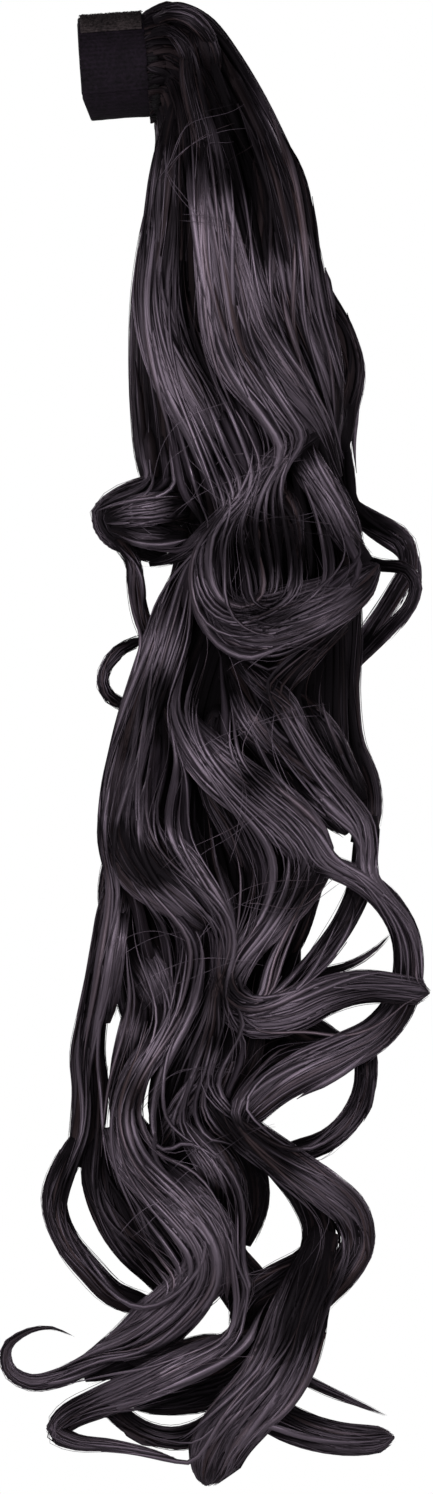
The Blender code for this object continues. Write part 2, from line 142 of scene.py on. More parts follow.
def hair_finish(name, dark, light, warm, lift, dull):
    finish = Finish(name)
    place = finish.node("ShaderNodeUVMap", {"uv_map": "strands"}, {})
    across = finish.node("ShaderNodeSeparateXYZ", {}, {0: place}, "X")
    along = Value(finish, across.socket.node.outputs["Y"])
    crest = finish.node("ShaderNodeAttribute", {"attribute_name": "crest"}, {}, "Fac")

    def stretched(often, long_way):
        return finish.node("ShaderNodeCombineXYZ", {}, {"X": across * often, "Y": along * long_way})

    strand = finish.noise(stretched(1.5, 0.02), 1.0, 3.0, 0.65)
    tuft = finish.noise(stretched(0.4, 0.012), 1.0, 2.0, 0.5)
    # The crest number mixed into the tone is painted shade in the hollows and painted light on the crests.
    tone = finish.node("ShaderNodeClamp", {}, {"Value": strand * 3.3 + tuft * 1.3 + crest * 1.6 - lift})
    colour = finish.blend(tone, dark, light)
    warmth = finish.noise(stretched(0.16, 0.006), 1.0, 1.0, 0.5)
    warmth = finish.node("ShaderNodeMapRange", {}, {0: warmth, 1: 0.55, 2: 0.8, 3: 0.0, 4: 0.5})
    finish.give(Base_Color=finish.blend(warmth, colour, warm))
    finish.give(Roughness=0.62 + dull - 0.26 * crest + 0.12 * strand)
    finish.give(Metallic=0.8, Specular_IOR_Level=0.3, Specular_Tint=(1.0, 0.9, 1.0, 1.0), Anisotropic=0.6)
    finish.raise_by(strand + 0.4 * tuft, 0.0004, 0.7)
    return finish.material


HAIR = hair_finish("black_brown_hair", dark=(0.006, 0.0045, 0.006), light=(0.118, 0.094, 0.120),
                   warm=(0.092, 0.058, 0.060), lift=2.85, dull=0.0)
# The second finish is the same hair with darker colours: painted shade for the hair inside the tail and
# between the locks, which lies in shadow.
PAINTED_SHADE_HAIR = hair_finish("shaded_hair", dark=(0.003, 0.0022, 0.003), light=(0.034, 0.026, 0.035),
                        warm=(0.028, 0.018, 0.019), lift=2.9, dull=0.15)
print("finishes:", HAIR.name, PAINTED_SHADE_HAIR.name)

# %% [markdown]
# The plan of the tail. The smooth upper fall and the hair inside the tail are given by round sections; a
# lock is a route of x, z points in millimetres with a few widths spread along it. The order matters: the
# deepest lock comes first, and each next one lies on those before it. Each named lock stands for one solid
# of the CAD model, and most have the same route as their solid; some were drawn better here, after a render
# was compared with the photograph. EXTRA_LOCKS have no solid of their own: they fill the tail where the
# real one has more locks, and each is laid straight after the lock that it is listed under.

# %% The sections of the body and the routes of the locks
BodyRow = namedtuple("BodyRow", "inner_x inner_z outer_x outer_z half_depth")
UPPER_FALL = [
    BodyRow(30.0, -18.0, 27.5, 22.6, 19.8),
    BodyRow(29.2, -21.5, 38.5, 24.0, 20.5),
    BodyRow(28.4, -26.0, 50.5, 18.0, 21.5),
    BodyRow(27.6, -34.0, 62.5, 2.0, 23.0),
    BodyRow(26.0, -47.0, 75.0, -21.0, 25.5),
    BodyRow(22.2, -63.0, 85.5, -47.0, 28.0),
    BodyRow(18.8, -84.0, 87.2, -74.0, 29.5),
    BodyRow(17.6, -106.0, 92.0, -97.0, 29.5),
    BodyRow(18.0, -130.0, 97.0, -115.0, 27.5),
    BodyRow(20.5, -152.0, 100.0, -131.0, 24.0),
    BodyRow(29.5, -176.0, 97.0, -146.0, 19.0),
]
INNER_HAIR = [
    BodyRow(34.0, -160.0, 94.0, -146.0, 16.0),
    BodyRow(46.0, -188.0, 97.0, -185.0, 13.5),
    BodyRow(38.0, -211.0, 98.0, -209.0, 13.5),
    BodyRow(25.0, -240.0, 99.0, -240.0, 14.0),
    BodyRow(18.0, -266.0, 99.0, -266.0, 14.0),
    BodyRow(16.5, -290.0, 90.0, -290.0, 13.0),
    BodyRow(18.0, -315.0, 83.0, -315.0, 12.5),
    BodyRow(17.0, -345.0, 82.0, -345.0, 12.0),
    BodyRow(22.0, -367.0, 79.0, -367.0, 11.0),
    BodyRow(31.0, -384.0, 68.0, -384.0, 10.0),
    BodyRow(30.0, -404.0, 66.0, -404.0, 9.5),
    BodyRow(28.0, -420.0, 63.0, -420.0, 8.5),
    BodyRow(36.0, -437.0, 62.0, -437.0, 7.5),
    BodyRow(45.0, -452.0, 57.0, -452.0, 4.5),
]

Lock = namedtuple("Lock", "name route widths")
FRONT_LOCKS = [
    Lock("root_fold", [(32, 13), (38, 15), (44, 12), (48, 4), (50, -6)], (6, 9, 10, 6)),
    Lock("crown_strand", [(42, 11), (40, 0), (42, -14), (46, -28), (49, -44), (49, -64), (48, -84)],
         (4, 6, 7, 8, 9, 7)),
    Lock("sweep_right", [(64, -18), (73, -44), (76, -72), (81, -96), (88, -118), (92, -138)],
         (8, 18, 22, 20, 10)),
    Lock("sweep_left", [(36, -16), (33, -36), (32, -62), (31, -88), (37, -112), (48, -134), (59, -154)],
         (5, 10, 15, 19, 19, 10)),
    Lock("sweep_middle", [(47, -28), (50, -56), (54, -82), (60, -106), (73, -124), (86, -140), (94, -156)],
         (6, 12, 17, 21, 18, 9)),
    Lock("inner_fan", [(68, -150), (72, -165), (75, -180), (74, -195)], (10, 18, 14)),
    Lock("under_crest", [(80, -142), (88, -155), (95, -167), (100, -178), (108, -186)], (12, 12, 6)),
    Lock("left_bun", [(36, -156), (26, -159.5), (15, -163), (8.5, -168), (11, -175), (20, -180), (33, -185)],
         (11, 11, 9, 8, 8, 8, 5)),
    Lock("left_drop", [(14, -178), (20, -186), (21, -196), (23.5, -208), (27, -216), (32, -226)], (5, 6, 6)),
    Lock("left_ring",
         [(24, -215), (15, -219), (10, -225), (8.5, -231.5), (11, -236.5), (15, -239), (22, -241)],
         (4, 4, 4.5)),
    Lock("diagonal_c", [(76, -234), (90, -248), (98, -262), (105, -276)], (6, 9, 7)),
    Lock("curl_return", [(103, -198), (90, -209), (79, -220), (70, -230), (62, -240)], (10, 13, 8)),
    Lock("diagonal_b", [(56, -225), (62, -238), (71, -251), (83, -263), (95, -274), (103, -283)],
         (8, 14, 15, 9)),
    Lock("thin_tip", [(74, -344), (84, -342), (93, -339.5), (102, -336.5), (111, -331), (117, -325)],
         (4, 3, 1.4)),
    Lock("right_descender", [(108, -281), (107, -294), (105, -307), (100, -319), (92, -331), (82, -342),
                             (72, -350)], (10, 8, 8)),
    Lock("middle_wave", [(38, -258), (33, -272), (34, -286), (41, -299), (48, -312), (50, -328), (48, -345),
                         (41, -358), (33, -370)], (8, 14, 16, 14, 12)),
    Lock("left_mid", [(20, -282), (15.5, -298), (15, -314), (19.5, -329), (26, -342), (30, -355), (27, -368)],
         (6, 11, 13, 12, 9)),
    Lock("left_edge", [(17, -296), (12.5, -318), (8.5, -338), (5, -355), (3, -369), (4, -385), (2.5, -400),
                       (0, -413)], (8, 12, 11, 10, 13, 13, 12)),
    Lock("left_inner", [(23, -346), (19.5, -361), (16.5, -376), (16, -390), (17, -402), (22, -412)],
         (8, 10, 9, 9)),
    Lock("left_fall", [(44, -183), (37, -200), (31.5, -218), (26, -236), (20.5, -256), (17, -274), (17, -289),
                       (24, -302), (35, -311), (47, -321)], (10, 16, 18, 18, 19, 11)),
    Lock("diagonal_a", [(34, -238), (42, -252), (53, -264), (66, -274), (79, -284), (86, -295), (82, -308),
                        (72, -321), (61, -333), (55, -346)], (8, 15, 16, 13, 9, 7)),
    Lock("big_curl", [(49, -183), (49, -196), (56, -207), (69, -210), (82, -206), (95, -200), (105, -193),
                      (112, -187)], (10, 15, 20, 18, 14, 9)),
    Lock("crossing_lock",
         [(88, -137), (76, -146), (66, -157), (57, -168), (47, -177), (36, -184), (26, -187)],
         (8, 9, 8, 3)),
    Lock("bowl", [(40, -352), (29, -366), (20, -380), (17.5, -391), (24, -401), (36, -406.5), (50, -408),
                  (60, -406), (66, -402)], (12, 10, 9, 9, 8)),
    Lock("center_s", [(63, -350), (60, -366), (53, -380), (45, -392), (36, -403), (27, -412)],
         (10, 16, 18, 10)),
    Lock("low_ring", [(104, -360), (107, -373), (106, -385), (101, -395), (92, -403), (81, -407), (69, -411)],
         (9, 8, 8, 9)),
    Lock("right_arc", [(84, -298), (95, -300.5), (105, -305), (115, -313.5), (121.5, -325), (123, -338),
                       (120, -351), (111, -362), (98, -369), (85, -375), (72, -383), (60, -394), (47, -403)],
         (8, 9, 10, 11, 13, 15, 12, 8)),
    Lock("right_tip", [(70, -324), (60, -334), (55, -345), (63, -355), (78, -354), (92, -348), (105, -345),
                       (118, -345.5), (131, -347.5)], (10, 12, 14, 16, 13, 11, 9.5)),
    Lock("low_left_inner", [(8, -398), (8, -416), (13, -430), (20, -441), (29, -451), (36, -460)],
         (7, 12, 13, 12, 10)),
    Lock("low_middle", [(20, -413), (27, -426), (35, -438), (42, -449), (45, -460)], (10, 15, 10)),
    Lock("far_left_curl", [(26, -470), (13, -479), (3, -486.5), (-8, -491.5), (-19, -493), (-26.5, -488.5),
                           (-27.5, -480.5), (-21, -475), (-11, -473), (-2, -476.5)],
         (9, 8, 7.5, 6, 4, 2, 1.3)),
    Lock("left_loop",
         [(3, -399), (-5, -411), (-9.5, -425), (-5, -440), (4, -451.5), (13, -460.5), (25, -465)],
         (9, 9, 9, 10)),
    Lock("low_center", [(52, -436), (55, -448), (62, -458), (68, -468), (71, -480), (67, -490)],
         (10, 15, 15, 15, 10)),
    Lock("right_inner_loop", [(64, -401), (75, -412), (84, -423), (89.5, -435), (88, -447), (82, -457),
                              (75, -467)], (9, 10, 12, 12, 10)),
    Lock("right_loop",
         [(50, -386), (61, -398), (76, -409), (92, -420), (102, -430), (104, -441), (98, -451.5),
                        (90, -460), (84, -468)], (9, 14, 14, 13, 12, 12, 12)),
    Lock("low_s", [(14, -396), (19, -408), (29, -417), (40, -427), (48, -438), (48, -449), (41, -458),
                   (31, -466), (20, -473), (8, -479)], (9, 14, 16, 16, 14, 12, 7)),
    Lock("stray_lock", [(66, -481), (77, -488), (88, -494), (101, -500), (115, -506)], (5, 4, 3, 2.6, 1.4)),
    Lock("low_hoop", [(6, -496), (13, -504), (23, -511), (36, -514), (47, -511), (56, -503), (62, -495)],
         (8, 7, 9, 9)),
    Lock("tail_tip", [(60, -494), (70, -504), (84, -511), (98, -514.5), (110, -515), (118, -514)],
         (12, 14, 13, 12, 9)),
    Lock("dark_sweep", [(80, -478), (68, -485), (54, -491.5), (40, -496), (27, -498.5), (15, -497)],
         (13, 15, 14, 7)),
    Lock("low_trunk", [(92, -436), (87, -451), (82, -466), (78, -479), (72, -491), (63, -502), (55, -512),
                       (50, -522), (47, -532)], (8, 14, 18, 19, 18, 17, 15)),
    Lock("pointed_loop",
         [(66, -473), (52, -479), (38, -486), (22, -494), (7, -501), (-5, -507), (-9.5, -511.5),
                          (-3, -515), (12, -516.5), (26, -519), (39, -523)], (4, 11, 13, 12, 10, 5, 5, 3)),
]
BACK_LOCKS = [
    Lock("right_bulge", [(80, -62), (89, -84), (97, -100), (100, -114), (98, -129), (96, -144)],
         (8, 11, 14, 11)),
    Lock("back_sweep", [(58, -30), (56, -58), (50, -86), (52, -112), (62, -136), (70, -158)],
         (8, 20, 24, 22, 12)),
    Lock("right_side", [(94, -136), (96, -155), (96, -175), (97, -195), (98, -215), (98, -236), (101, -255),
                        (107, -270), (108, -281), (105, -292)], (14, 16, 16, 14, 12, 10)),
    Lock("right_hook_outer", [(102, -183), (113, -187), (122.5, -188.5), (126, -193.5), (124, -202),
                              (116, -211), (107, -220), (96, -230)], (4, 4.5, 5)),
    Lock("right_hook", [(94, -160), (104, -167.5), (114, -173), (121.5, -178), (123.5, -187), (118, -198),
                        (110, -210), (101, -222), (91, -233)], (9, 8, 6, 6, 7)),
    Lock("back_fall_right", [(88, -150), (90, -175), (82, -200), (79, -225), (86, -248), (89, -270),
                             (78, -292)], (12, 18, 20, 18, 12)),
    Lock("back_fall_left",
         [(44, -168), (42, -190), (37, -214), (30, -240), (31, -262), (35, -285), (27, -308),
                            (20, -330)], (12, 18, 20, 20, 12)),
    Lock("back_wave_left", [(24, -322), (21, -345), (31, -368), (44, -388), (44, -408), (37, -428)],
         (10, 17, 18, 14, 9)),
    Lock("back_fall_middle", [(66, -165), (57, -190), (62, -215), (72, -238), (68, -262), (56, -285),
                              (51, -308), (59, -330), (67, -350)], (14, 22, 24, 22, 14)),
    Lock("back_wave_right", [(72, -337), (62, -360), (51, -384), (53, -405), (59, -425), (55, -445)],
         (10, 17, 18, 14, 9)),
]
EXTRA_LOCKS = {
    "root_fold": [
        Lock("root_wrap_high", [(28, 16), (34, 18), (40, 17), (46, 12), (51, 4)], (5, 6, 6, 4)),
        Lock("root_wrap_low", [(27, 11), (33, 12), (38, 8), (41, 0), (40, -8)], (4, 5, 6, 5)),
        Lock("root_strand", [(28, -2), (33, -5), (37, -14), (39, -28), (38, -46), (36, -60)], (4, 5, 6, 5)),
    ],
    "sweep_right": [
        Lock("sweep_rim", [(58, -4), (68, -26), (76, -50), (81, -72), (82, -92)], (5, 8, 9, 7)),
        Lock("sweep_center", [(46, -20), (52, -40), (58, -60), (64, -84), (74, -104), (84, -122)],
             (5, 9, 11, 12, 8)),
    ],
    "left_bun": [
        Lock("bun_filling_low", [(9, -171), (18, -174), (28, -176), (40, -177)], (5, 10, 12, 8)),
        Lock("bun_filling_high", [(41, -165), (30, -166), (20, -167.5), (10, -170)], (9, 12, 11, 5)),
    ],
    "inner_fan": [
        Lock("fan_left", [(62, -156), (61, -168), (64, -180), (68, -190)], (7, 11, 8)),
        Lock("right_swing", [(88, -150), (97, -166), (101, -180), (100, -192)], (8, 11, 7)),
    ],
    "curl_return": [
        Lock("curl_return_low", [(98, -208), (88, -217), (78, -227), (70, -236), (60, -243)], (9, 11, 8)),
    ],
    "diagonal_b": [
        Lock("diagonal_upper", [(58, -222), (68, -232), (78, -242), (84, -254)], (5, 9, 6)),
        Lock("descender_shade", [(82, -268), (92, -279), (101, -286)], (7, 11, 8)),
    ],
    "diagonal_c": [
        Lock("descender_fill", [(90, -294), (86, -308), (82, -322), (75, -338)], (6, 9, 9, 6)),
        Lock("arc_fill", [(62, -350), (74, -355), (86, -362), (97, -368), (105, -371)], (8, 13, 12, 7)),
    ],
    "right_descender": [
        Lock("arc_shade", [(122, -352), (113, -362), (100, -369), (84, -372), (66, -379)],
             (5, 9, 13, 13, 11)),
    ],
    "middle_wave": [
        Lock("middle_fall", [(54, -240), (50, -256), (52, -272), (60, -288), (66, -302), (64, -318)],
             (9, 14, 14, 10)),
        Lock("inner_wave", [(24, -268), (22, -284), (27, -298), (36, -310), (42, -326), (38, -342)],
             (9, 13, 13, 9)),
        Lock("wave_second", [(24, -280), (32, -292), (41, -303), (51, -318)], (8, 14, 14, 8)),
        Lock("bowl_shade", [(44, -350), (38, -366), (33, -380), (32, -394), (40, -406)], (9, 12, 12, 9)),
    ],
    "left_inner": [
        Lock("left_between", [(16, -312), (13, -330), (11, -346), (9, -358)], (6, 9, 7)),
    ],
    "center_s": [
        Lock("low_center_high", [(46, -384), (56, -398), (63, -412), (65, -426), (61, -442)], (8, 12, 12, 8)),
        Lock("low_center_left", [(36, -392), (47, -404), (55, -418), (55, -434), (50, -450)], (9, 15, 14, 9)),
    ],
    "right_inner_loop": [
        Lock("low_knot", [(94, -438), (85, -449), (74, -455), (64, -462), (60, -474)], (10, 13, 13, 13, 9)),
    ],
    "low_center": [
        Lock("low_cluster", [(45, -448), (42, -461), (34, -472), (24, -480), (12, -486), (1, -490)],
             (8, 12, 14, 13, 9)),
    ],
    "low_trunk": [
        Lock("low_bridge", [(12, -480), (22, -483), (34, -482), (48, -477.5), (60, -476), (66, -473.5)],
             (4, 9, 8, 6, 3)),
    ],
}
print("locks:", len(FRONT_LOCKS), "in front and", len(BACK_LOCKS), "behind")

# %% [markdown]
# A lock is laid by asking, all along it, how far the hair already there stands out from the middle of the
# tail. That is kept in a grid of depths, like a map of heights. The lock takes the highest value under its
# own width, eased along its length so that it bends gently, and then it is written into the grid for the
# next one.

# %% Follow a route


def smooth_route(lock, step):
    """Evenly spaced x, z along the route, the lock's width there and the length walked."""
    points = np.array(lock.route, float)
    chord = np.linalg.norm(np.diff(points, axis=0), axis=1)
    at = np.concatenate([[0.0], np.cumsum(chord)])
    slope = np.gradient(points, at, axis=0)
    dense = np.linspace(0.0, at[-1], max(40, int(at[-1] * 4)))
    cell = np.clip(np.searchsorted(at, dense, side="right") - 1, 0, len(at) - 2)
    span = (at[1:] - at[:-1])[cell][:, None]
    u = ((dense - at[cell]) / (at[1:] - at[:-1])[cell])[:, None]
    curve = (2 * u**3 - 3 * u**2 + 1) * points[cell]
    curve = curve + (u**3 - 2 * u**2 + u) * span * slope[cell]
    curve = curve + (3 * u**2 - 2 * u**3) * points[cell + 1]
    curve = curve + (u**3 - u**2) * span * slope[cell + 1]
    walked = np.concatenate([[0.0], np.cumsum(np.linalg.norm(np.diff(curve, axis=0), axis=1))])
    count = max(6, int(round(walked[-1] / step)) + 1)
    even = np.linspace(0.0, walked[-1], count)
    x = np.interp(even, walked, curve[:, 0])
    z = np.interp(even, walked, curve[:, 1])
    share = np.linspace(0.0, 1.0, count)
    width = np.interp(share, np.linspace(0.0, 1.0, len(lock.widths)), lock.widths)
    return x, z, averaged(width, 6), even


def averaged(values, reach):
    padded = np.pad(values, reach, mode="edge")
    return np.convolve(padded, np.ones(2 * reach + 1) / (2 * reach + 1), mode="valid")


def eased(values, reach):
    """The highest neighbour within reach, then averaged over it."""
    padded = np.pad(values, reach, mode="edge")
    highest = np.array([padded[i:i + 2 * reach + 1].max() for i in range(len(values))])
    return averaged(highest, reach)


def directions(x, z):
    """Unit vectors across and along a route."""
    along = np.stack([np.gradient(x), np.gradient(z)], axis=1)
    along = along / np.linalg.norm(along, axis=1)[:, None]
    return np.stack([-along[:, 1], along[:, 0]], axis=1), along


def bend_radius(x, z, even):
    _, along = directions(x, z)
    turn = np.unwrap(np.arctan2(along[:, 1], along[:, 0]))
    return 1.0 / np.maximum(averaged(np.abs(np.gradient(turn, even)), 3), 1e-4)


def smoothstep(values):
    t = np.clip(values, 0.0, 1.0)
    return t * t * (3.0 - 2.0 * t)


print("a lock of", len(smooth_route(FRONT_LOCKS[0], 1.0)[0]), "steps follows its route")

# %% Keep a map of depths
LEFT, LOW, WIDE, HIGH = -60, -560, 240, 620
NO_HAIR, HAIR_ABOVE = 0.3, 0.31
NEIGHBOURHOOD_MM = 7.0


def cell_of(x, z):
    column = np.clip(np.floor(x - LEFT).astype(int), 0, WIDE - 2)
    row = np.clip(np.floor(z - LOW).astype(int), 0, HIGH - 2)
    return column, row


def blurred(grid, spread):
    reach = int(3 * spread)
    kernel = np.exp(-0.5 * (np.arange(-reach, reach + 1) / spread) ** 2)
    weights = kernel / kernel.sum()
    for axis in (0, 1):
        grid = sum(k * np.roll(grid, s, axis) for k, s in zip(weights, range(-reach, reach + 1)))
    return grid


class DepthField:
    """How far the hair already laid stands out from the middle plane, on a grid over X and Z."""

    def __init__(self):
        self.reach = np.full((WIDE, HIGH), NO_HAIR)

    def highest(self, x, z):
        column, row = cell_of(x, z)
        first = np.maximum(self.reach[column, row], self.reach[column + 1, row])
        return np.maximum(first, self.reach[column, row + 1])

    def lay(self, x, z, depth):
        column, row = cell_of(x, z)
        np.maximum.at(self.reach, (column, row), depth)
        np.maximum.at(self.reach, (column + 1, row), depth)

    def envelope(self):
        """The depths smoothed over the neighbourhood, and how much of it is hair at all."""
        there = (self.reach > HAIR_ABOVE).astype(float)
        cover = blurred(there, NEIGHBOURHOOD_MM)
        return blurred(self.reach * there, NEIGHBOURHOOD_MM) / np.maximum(cover, 0.05), cover


class Flow:
    """Which way the hair runs at each place, kept as a doubled angle so that up and down count alike."""

    def __init__(self):
        self.double = np.zeros((WIDE, HIGH), complex)

    def lay(self, x, z, along_x, along_z, share=0.8):
        column, row = cell_of(x, z)
        new = (along_x + 1j * along_z) ** 2
        self.double[column, row] = (1 - share) * self.double[column, row] + share * new

    def settle(self):
        self.double = blurred(self.double, 3.5)

    def axis(self, x, z):
        column, row = cell_of(x, z)
        way = np.sqrt(self.double[column, row] + 1e-9)
        way = way / np.abs(way)
        return way.real, way.imag


print("depth map of", WIDE, "by", HIGH, "mm")

# %% [markdown]
# A bundle says all that is needed to cover it with hair: a centre line, the two directions across it and
# the half sizes in those directions. The body and the locks are both bundles. Where a lock begins it dives
# under the hair round it, and so does its end unless it hangs free, so that it grows out of the mass
# instead of lying on it like a ribbon. A free end thins out over the length that FREE_TIPS gives. Broad
# locks are drawn a quarter wider than their table says, and a slow swell lifts the middle of each wave, as
# in a waved lock.

# %% Bundles
Bundle = namedtuple("Bundle", "centre side up half_wide half_deep along")
FREE_TIPS = {"right_tip": 4.0, "low_s": 20.0, "big_curl": 10.0, "thin_tip": 40.0, "far_left_curl": 30.0,
             "pointed_loop": 36.0, "tail_tip": 6.0, "stray_lock": 30.0, "low_trunk": 12.0, "low_bridge": 30.0}
BLUNT_TIP_MM = 15.0
SINK = 0.35
EASE_STEPS = 8
DIVE_MM = 26.0
WAVE_MM = 90.0
SWELL_MM = 7.0
CALM = ("root", "crown", "sweep")
BROADER = 1.25
BROAD_LOCKS = {"sweep_right", "sweep_left", "sweep_middle", "inner_fan", "diagonal_a", "diagonal_b",
               "diagonal_c", "big_curl", "curl_return", "middle_wave", "left_mid", "center_s", "low_s",
               "low_trunk", "low_middle", "low_center", "dark_sweep", "low_left_inner", "back_sweep"}


def body_bundle(rows, away):
    """A bundle through the body's sections, eased between them."""
    table = np.array([row[:5] for row in rows])
    place = np.linspace(0.0, len(rows) - 1, 40 * (len(rows) - 1) + 1)
    cell = np.clip(place.astype(int), 0, len(rows) - 2)
    u = (place - cell)[:, None]
    slope = np.gradient(table, axis=0)
    fine = (2 * u**3 - 3 * u**2 + 1) * table[cell] + (u**3 - 2 * u**2 + u) * slope[cell]
    fine = fine + (3 * u**2 - 2 * u**3) * table[cell + 1] + (u**3 - u**2) * slope[cell + 1]
    middle = (fine[:, 0:2] + fine[:, 2:4]) / 2
    reach = (fine[:, 2:4] - fine[:, 0:2]) / 2
    half = np.linalg.norm(reach, axis=1)
    centre = np.stack([middle[:, 0], np.zeros(len(fine)), middle[:, 1]], axis=1)
    side = np.stack([reach[:, 0] / half, np.zeros(len(fine)), reach[:, 1] / half], axis=1)
    up = np.tile([0.0, away, 0.0], (len(fine), 1))
    along = np.concatenate([[0.0], np.cumsum(np.linalg.norm(np.diff(centre, axis=0), axis=1))])
    return Bundle(centre, side, up, half, fine[:, 4], along)


def lay_body(bundle, field, flow):
    across = np.linspace(-1.0, 1.0, 161)
    x = bundle.centre[:, 0][:, None] + bundle.side[:, 0][:, None] * bundle.half_wide[:, None] * across
    z = bundle.centre[:, 2][:, None] + bundle.side[:, 2][:, None] * bundle.half_wide[:, None] * across
    field.lay(x, z, bundle.half_deep[:, None] * np.sqrt(1.0 - across**2))
    along_x, along_z = np.gradient(x, axis=0), np.gradient(z, axis=0)
    size = np.hypot(along_x, along_z) + 1e-9
    flow.lay(x, z, along_x / size, along_z / size)


def lock_bundle(lock, field, flow, away):
    """Lays a lock on the hair in the field and returns it as a bundle."""
    x, z, width, even = smooth_route(lock, 1.0)
    broader = BROADER if lock.name in BROAD_LOCKS else 1.0
    width = np.minimum(broader * width, 1.8 * bend_radius(x, z, even))
    half = 0.5 * averaged(width, 2)
    thick = 0.5 * np.minimum(0.9 * 2 * half, 1.8 + 0.62 * half)
    side, ahead = directions(x, z)
    across = np.linspace(-1.0, 1.0, 25)
    arch = np.sqrt(1.0 - across**2)
    foot_x = x[:, None] + side[:, :1] * half[:, None] * across
    foot_z = z[:, None] + side[:, 1:] * half[:, None] * across
    needed = (field.highest(foot_x, foot_z) + thick[:, None] * arch).max(axis=1)
    height = eased(needed - SINK * thick, EASE_STEPS)
    reach = min(DIVE_MM, 0.3 * even[-1])
    share = even / even[-1]
    dive = 1.0 - smoothstep(even / reach)
    if lock.name not in FREE_TIPS:
        dive = np.maximum(dive, 1.0 - smoothstep((even[-1] - even) / reach))
    waves = max(1, round(even[-1] / WAVE_MM))
    calm = 0.25 if lock.name.startswith(CALM) else 1.0
    swell = calm * min(SWELL_MM, 0.09 * even[-1]) * np.sin(math.pi * waves * share) ** 2
    height = np.maximum(averaged(height - dive * (2.2 * thick + 2.5) + swell, 3), 0.3)
    if lock.name in FREE_TIPS:
        run_out = 0.06 + 0.94 * np.sqrt(np.clip((even[-1] - even) / FREE_TIPS[lock.name], 0.0, 1.0))
        half, thick = half * run_out, thick * run_out
    between = np.linspace(0.0, len(x) - 1, 2 * len(x))
    fine = [np.interp(between, np.arange(len(x)), v) for v in (x, z, half, thick, height)]
    across_fine = np.stack([np.interp(between, np.arange(len(x)), side[:, k]) for k in (0, 1)], axis=1)
    ahead_fine = np.stack([np.interp(between, np.arange(len(x)), ahead[:, k]) for k in (0, 1)], axis=1)
    foot_x = fine[0][:, None] + across_fine[:, :1] * fine[2][:, None] * across
    foot_z = fine[1][:, None] + across_fine[:, 1:] * fine[2][:, None] * across
    field.lay(foot_x, foot_z, fine[4][:, None] + fine[3][:, None] * arch)
    flow.lay(foot_x, foot_z, *[np.broadcast_to(ahead_fine[:, k:k + 1], foot_x.shape) for k in (0, 1)])
    centre = np.stack([x, away * height, z], axis=1)
    forward = np.gradient(centre, axis=0)
    forward = forward / np.linalg.norm(forward, axis=1)[:, None]
    across_way = np.stack([side[:, 0], np.zeros(len(x)), side[:, 1]], axis=1)
    up = np.cross(forward, across_way)
    up = up * np.sign(up[:, 1] * away)[:, None]
    return Bundle(centre, across_way, up, half, thick, even)


print("bundles ready")

# %% [markdown]
# A lock is not one solid: it is a dozen or two tufts that run side by side, part a little, cross and run
# out at different places. So each lock gets a plain core, flat tufts lying on the core with slow sideways
# drift, and a few single strands over the tufts. Everything is worked out as arrays and made into one mesh,
# because there are some thousands of tufts and strands. The first step is to find the points on a bundle.

# %% Points on a bundle
LENS_POWER = 1.25


def on_bundle(bundle, at, turn, lift):
    """Points on a bundle and their outward directions, by share of the length and angle from the crest."""
    last = len(bundle.along) - 1
    index = np.clip(at * last, 0, last)
    low = np.minimum(index.astype(int), last - 1)
    part = index - low

    def there(values):
        part_of = part[..., None] if values.ndim == 2 else part
        return values[low] * (1 - part_of) + values[low + 1] * part_of

    sine, cosine = np.sin(turn), np.cos(turn)
    crest = np.sign(cosine) * np.abs(cosine) ** LENS_POWER
    wide, deep = there(bundle.half_wide), there(bundle.half_deep)
    side, up = there(bundle.side), there(bundle.up)
    where = there(bundle.centre) + side * (sine * (wide + lift))[..., None]
    where = where + up * (crest * (deep + lift))[..., None]
    normal = side * (sine * deep)[..., None] + up * (cosine * wide)[..., None]
    return where, normal / np.maximum(np.linalg.norm(normal, axis=-1), 1e-6)[..., None]


def girth_of(bundle):
    wide, deep = bundle.half_wide.mean(), bundle.half_deep.mean()
    return math.pi * (3 * (wide + deep) - math.sqrt((3 * wide + deep) * (wide + 3 * deep)))


print("a bundle's section is a lens of power", LENS_POWER)

# %% [markdown]
# A mesh of this size is quickest to make from arrays of points and faces. Each point also gets its number
# crest, read from the map of depths: how far the point stands out of the hair round it. That number is
# painted shade in the hollows, and the table of soft spots below lowers it where the real hair lies in
# shadow and raises it where it catches the light: more painted shade and a few painted highlights. Hair
# that stands out further than DEPTH_KEPT_MM is pressed to half of what is beyond it, so that the tail stays
# as deep as the plan.

# %% Collect a mesh
DEPTH_KEPT_MM = 43.0


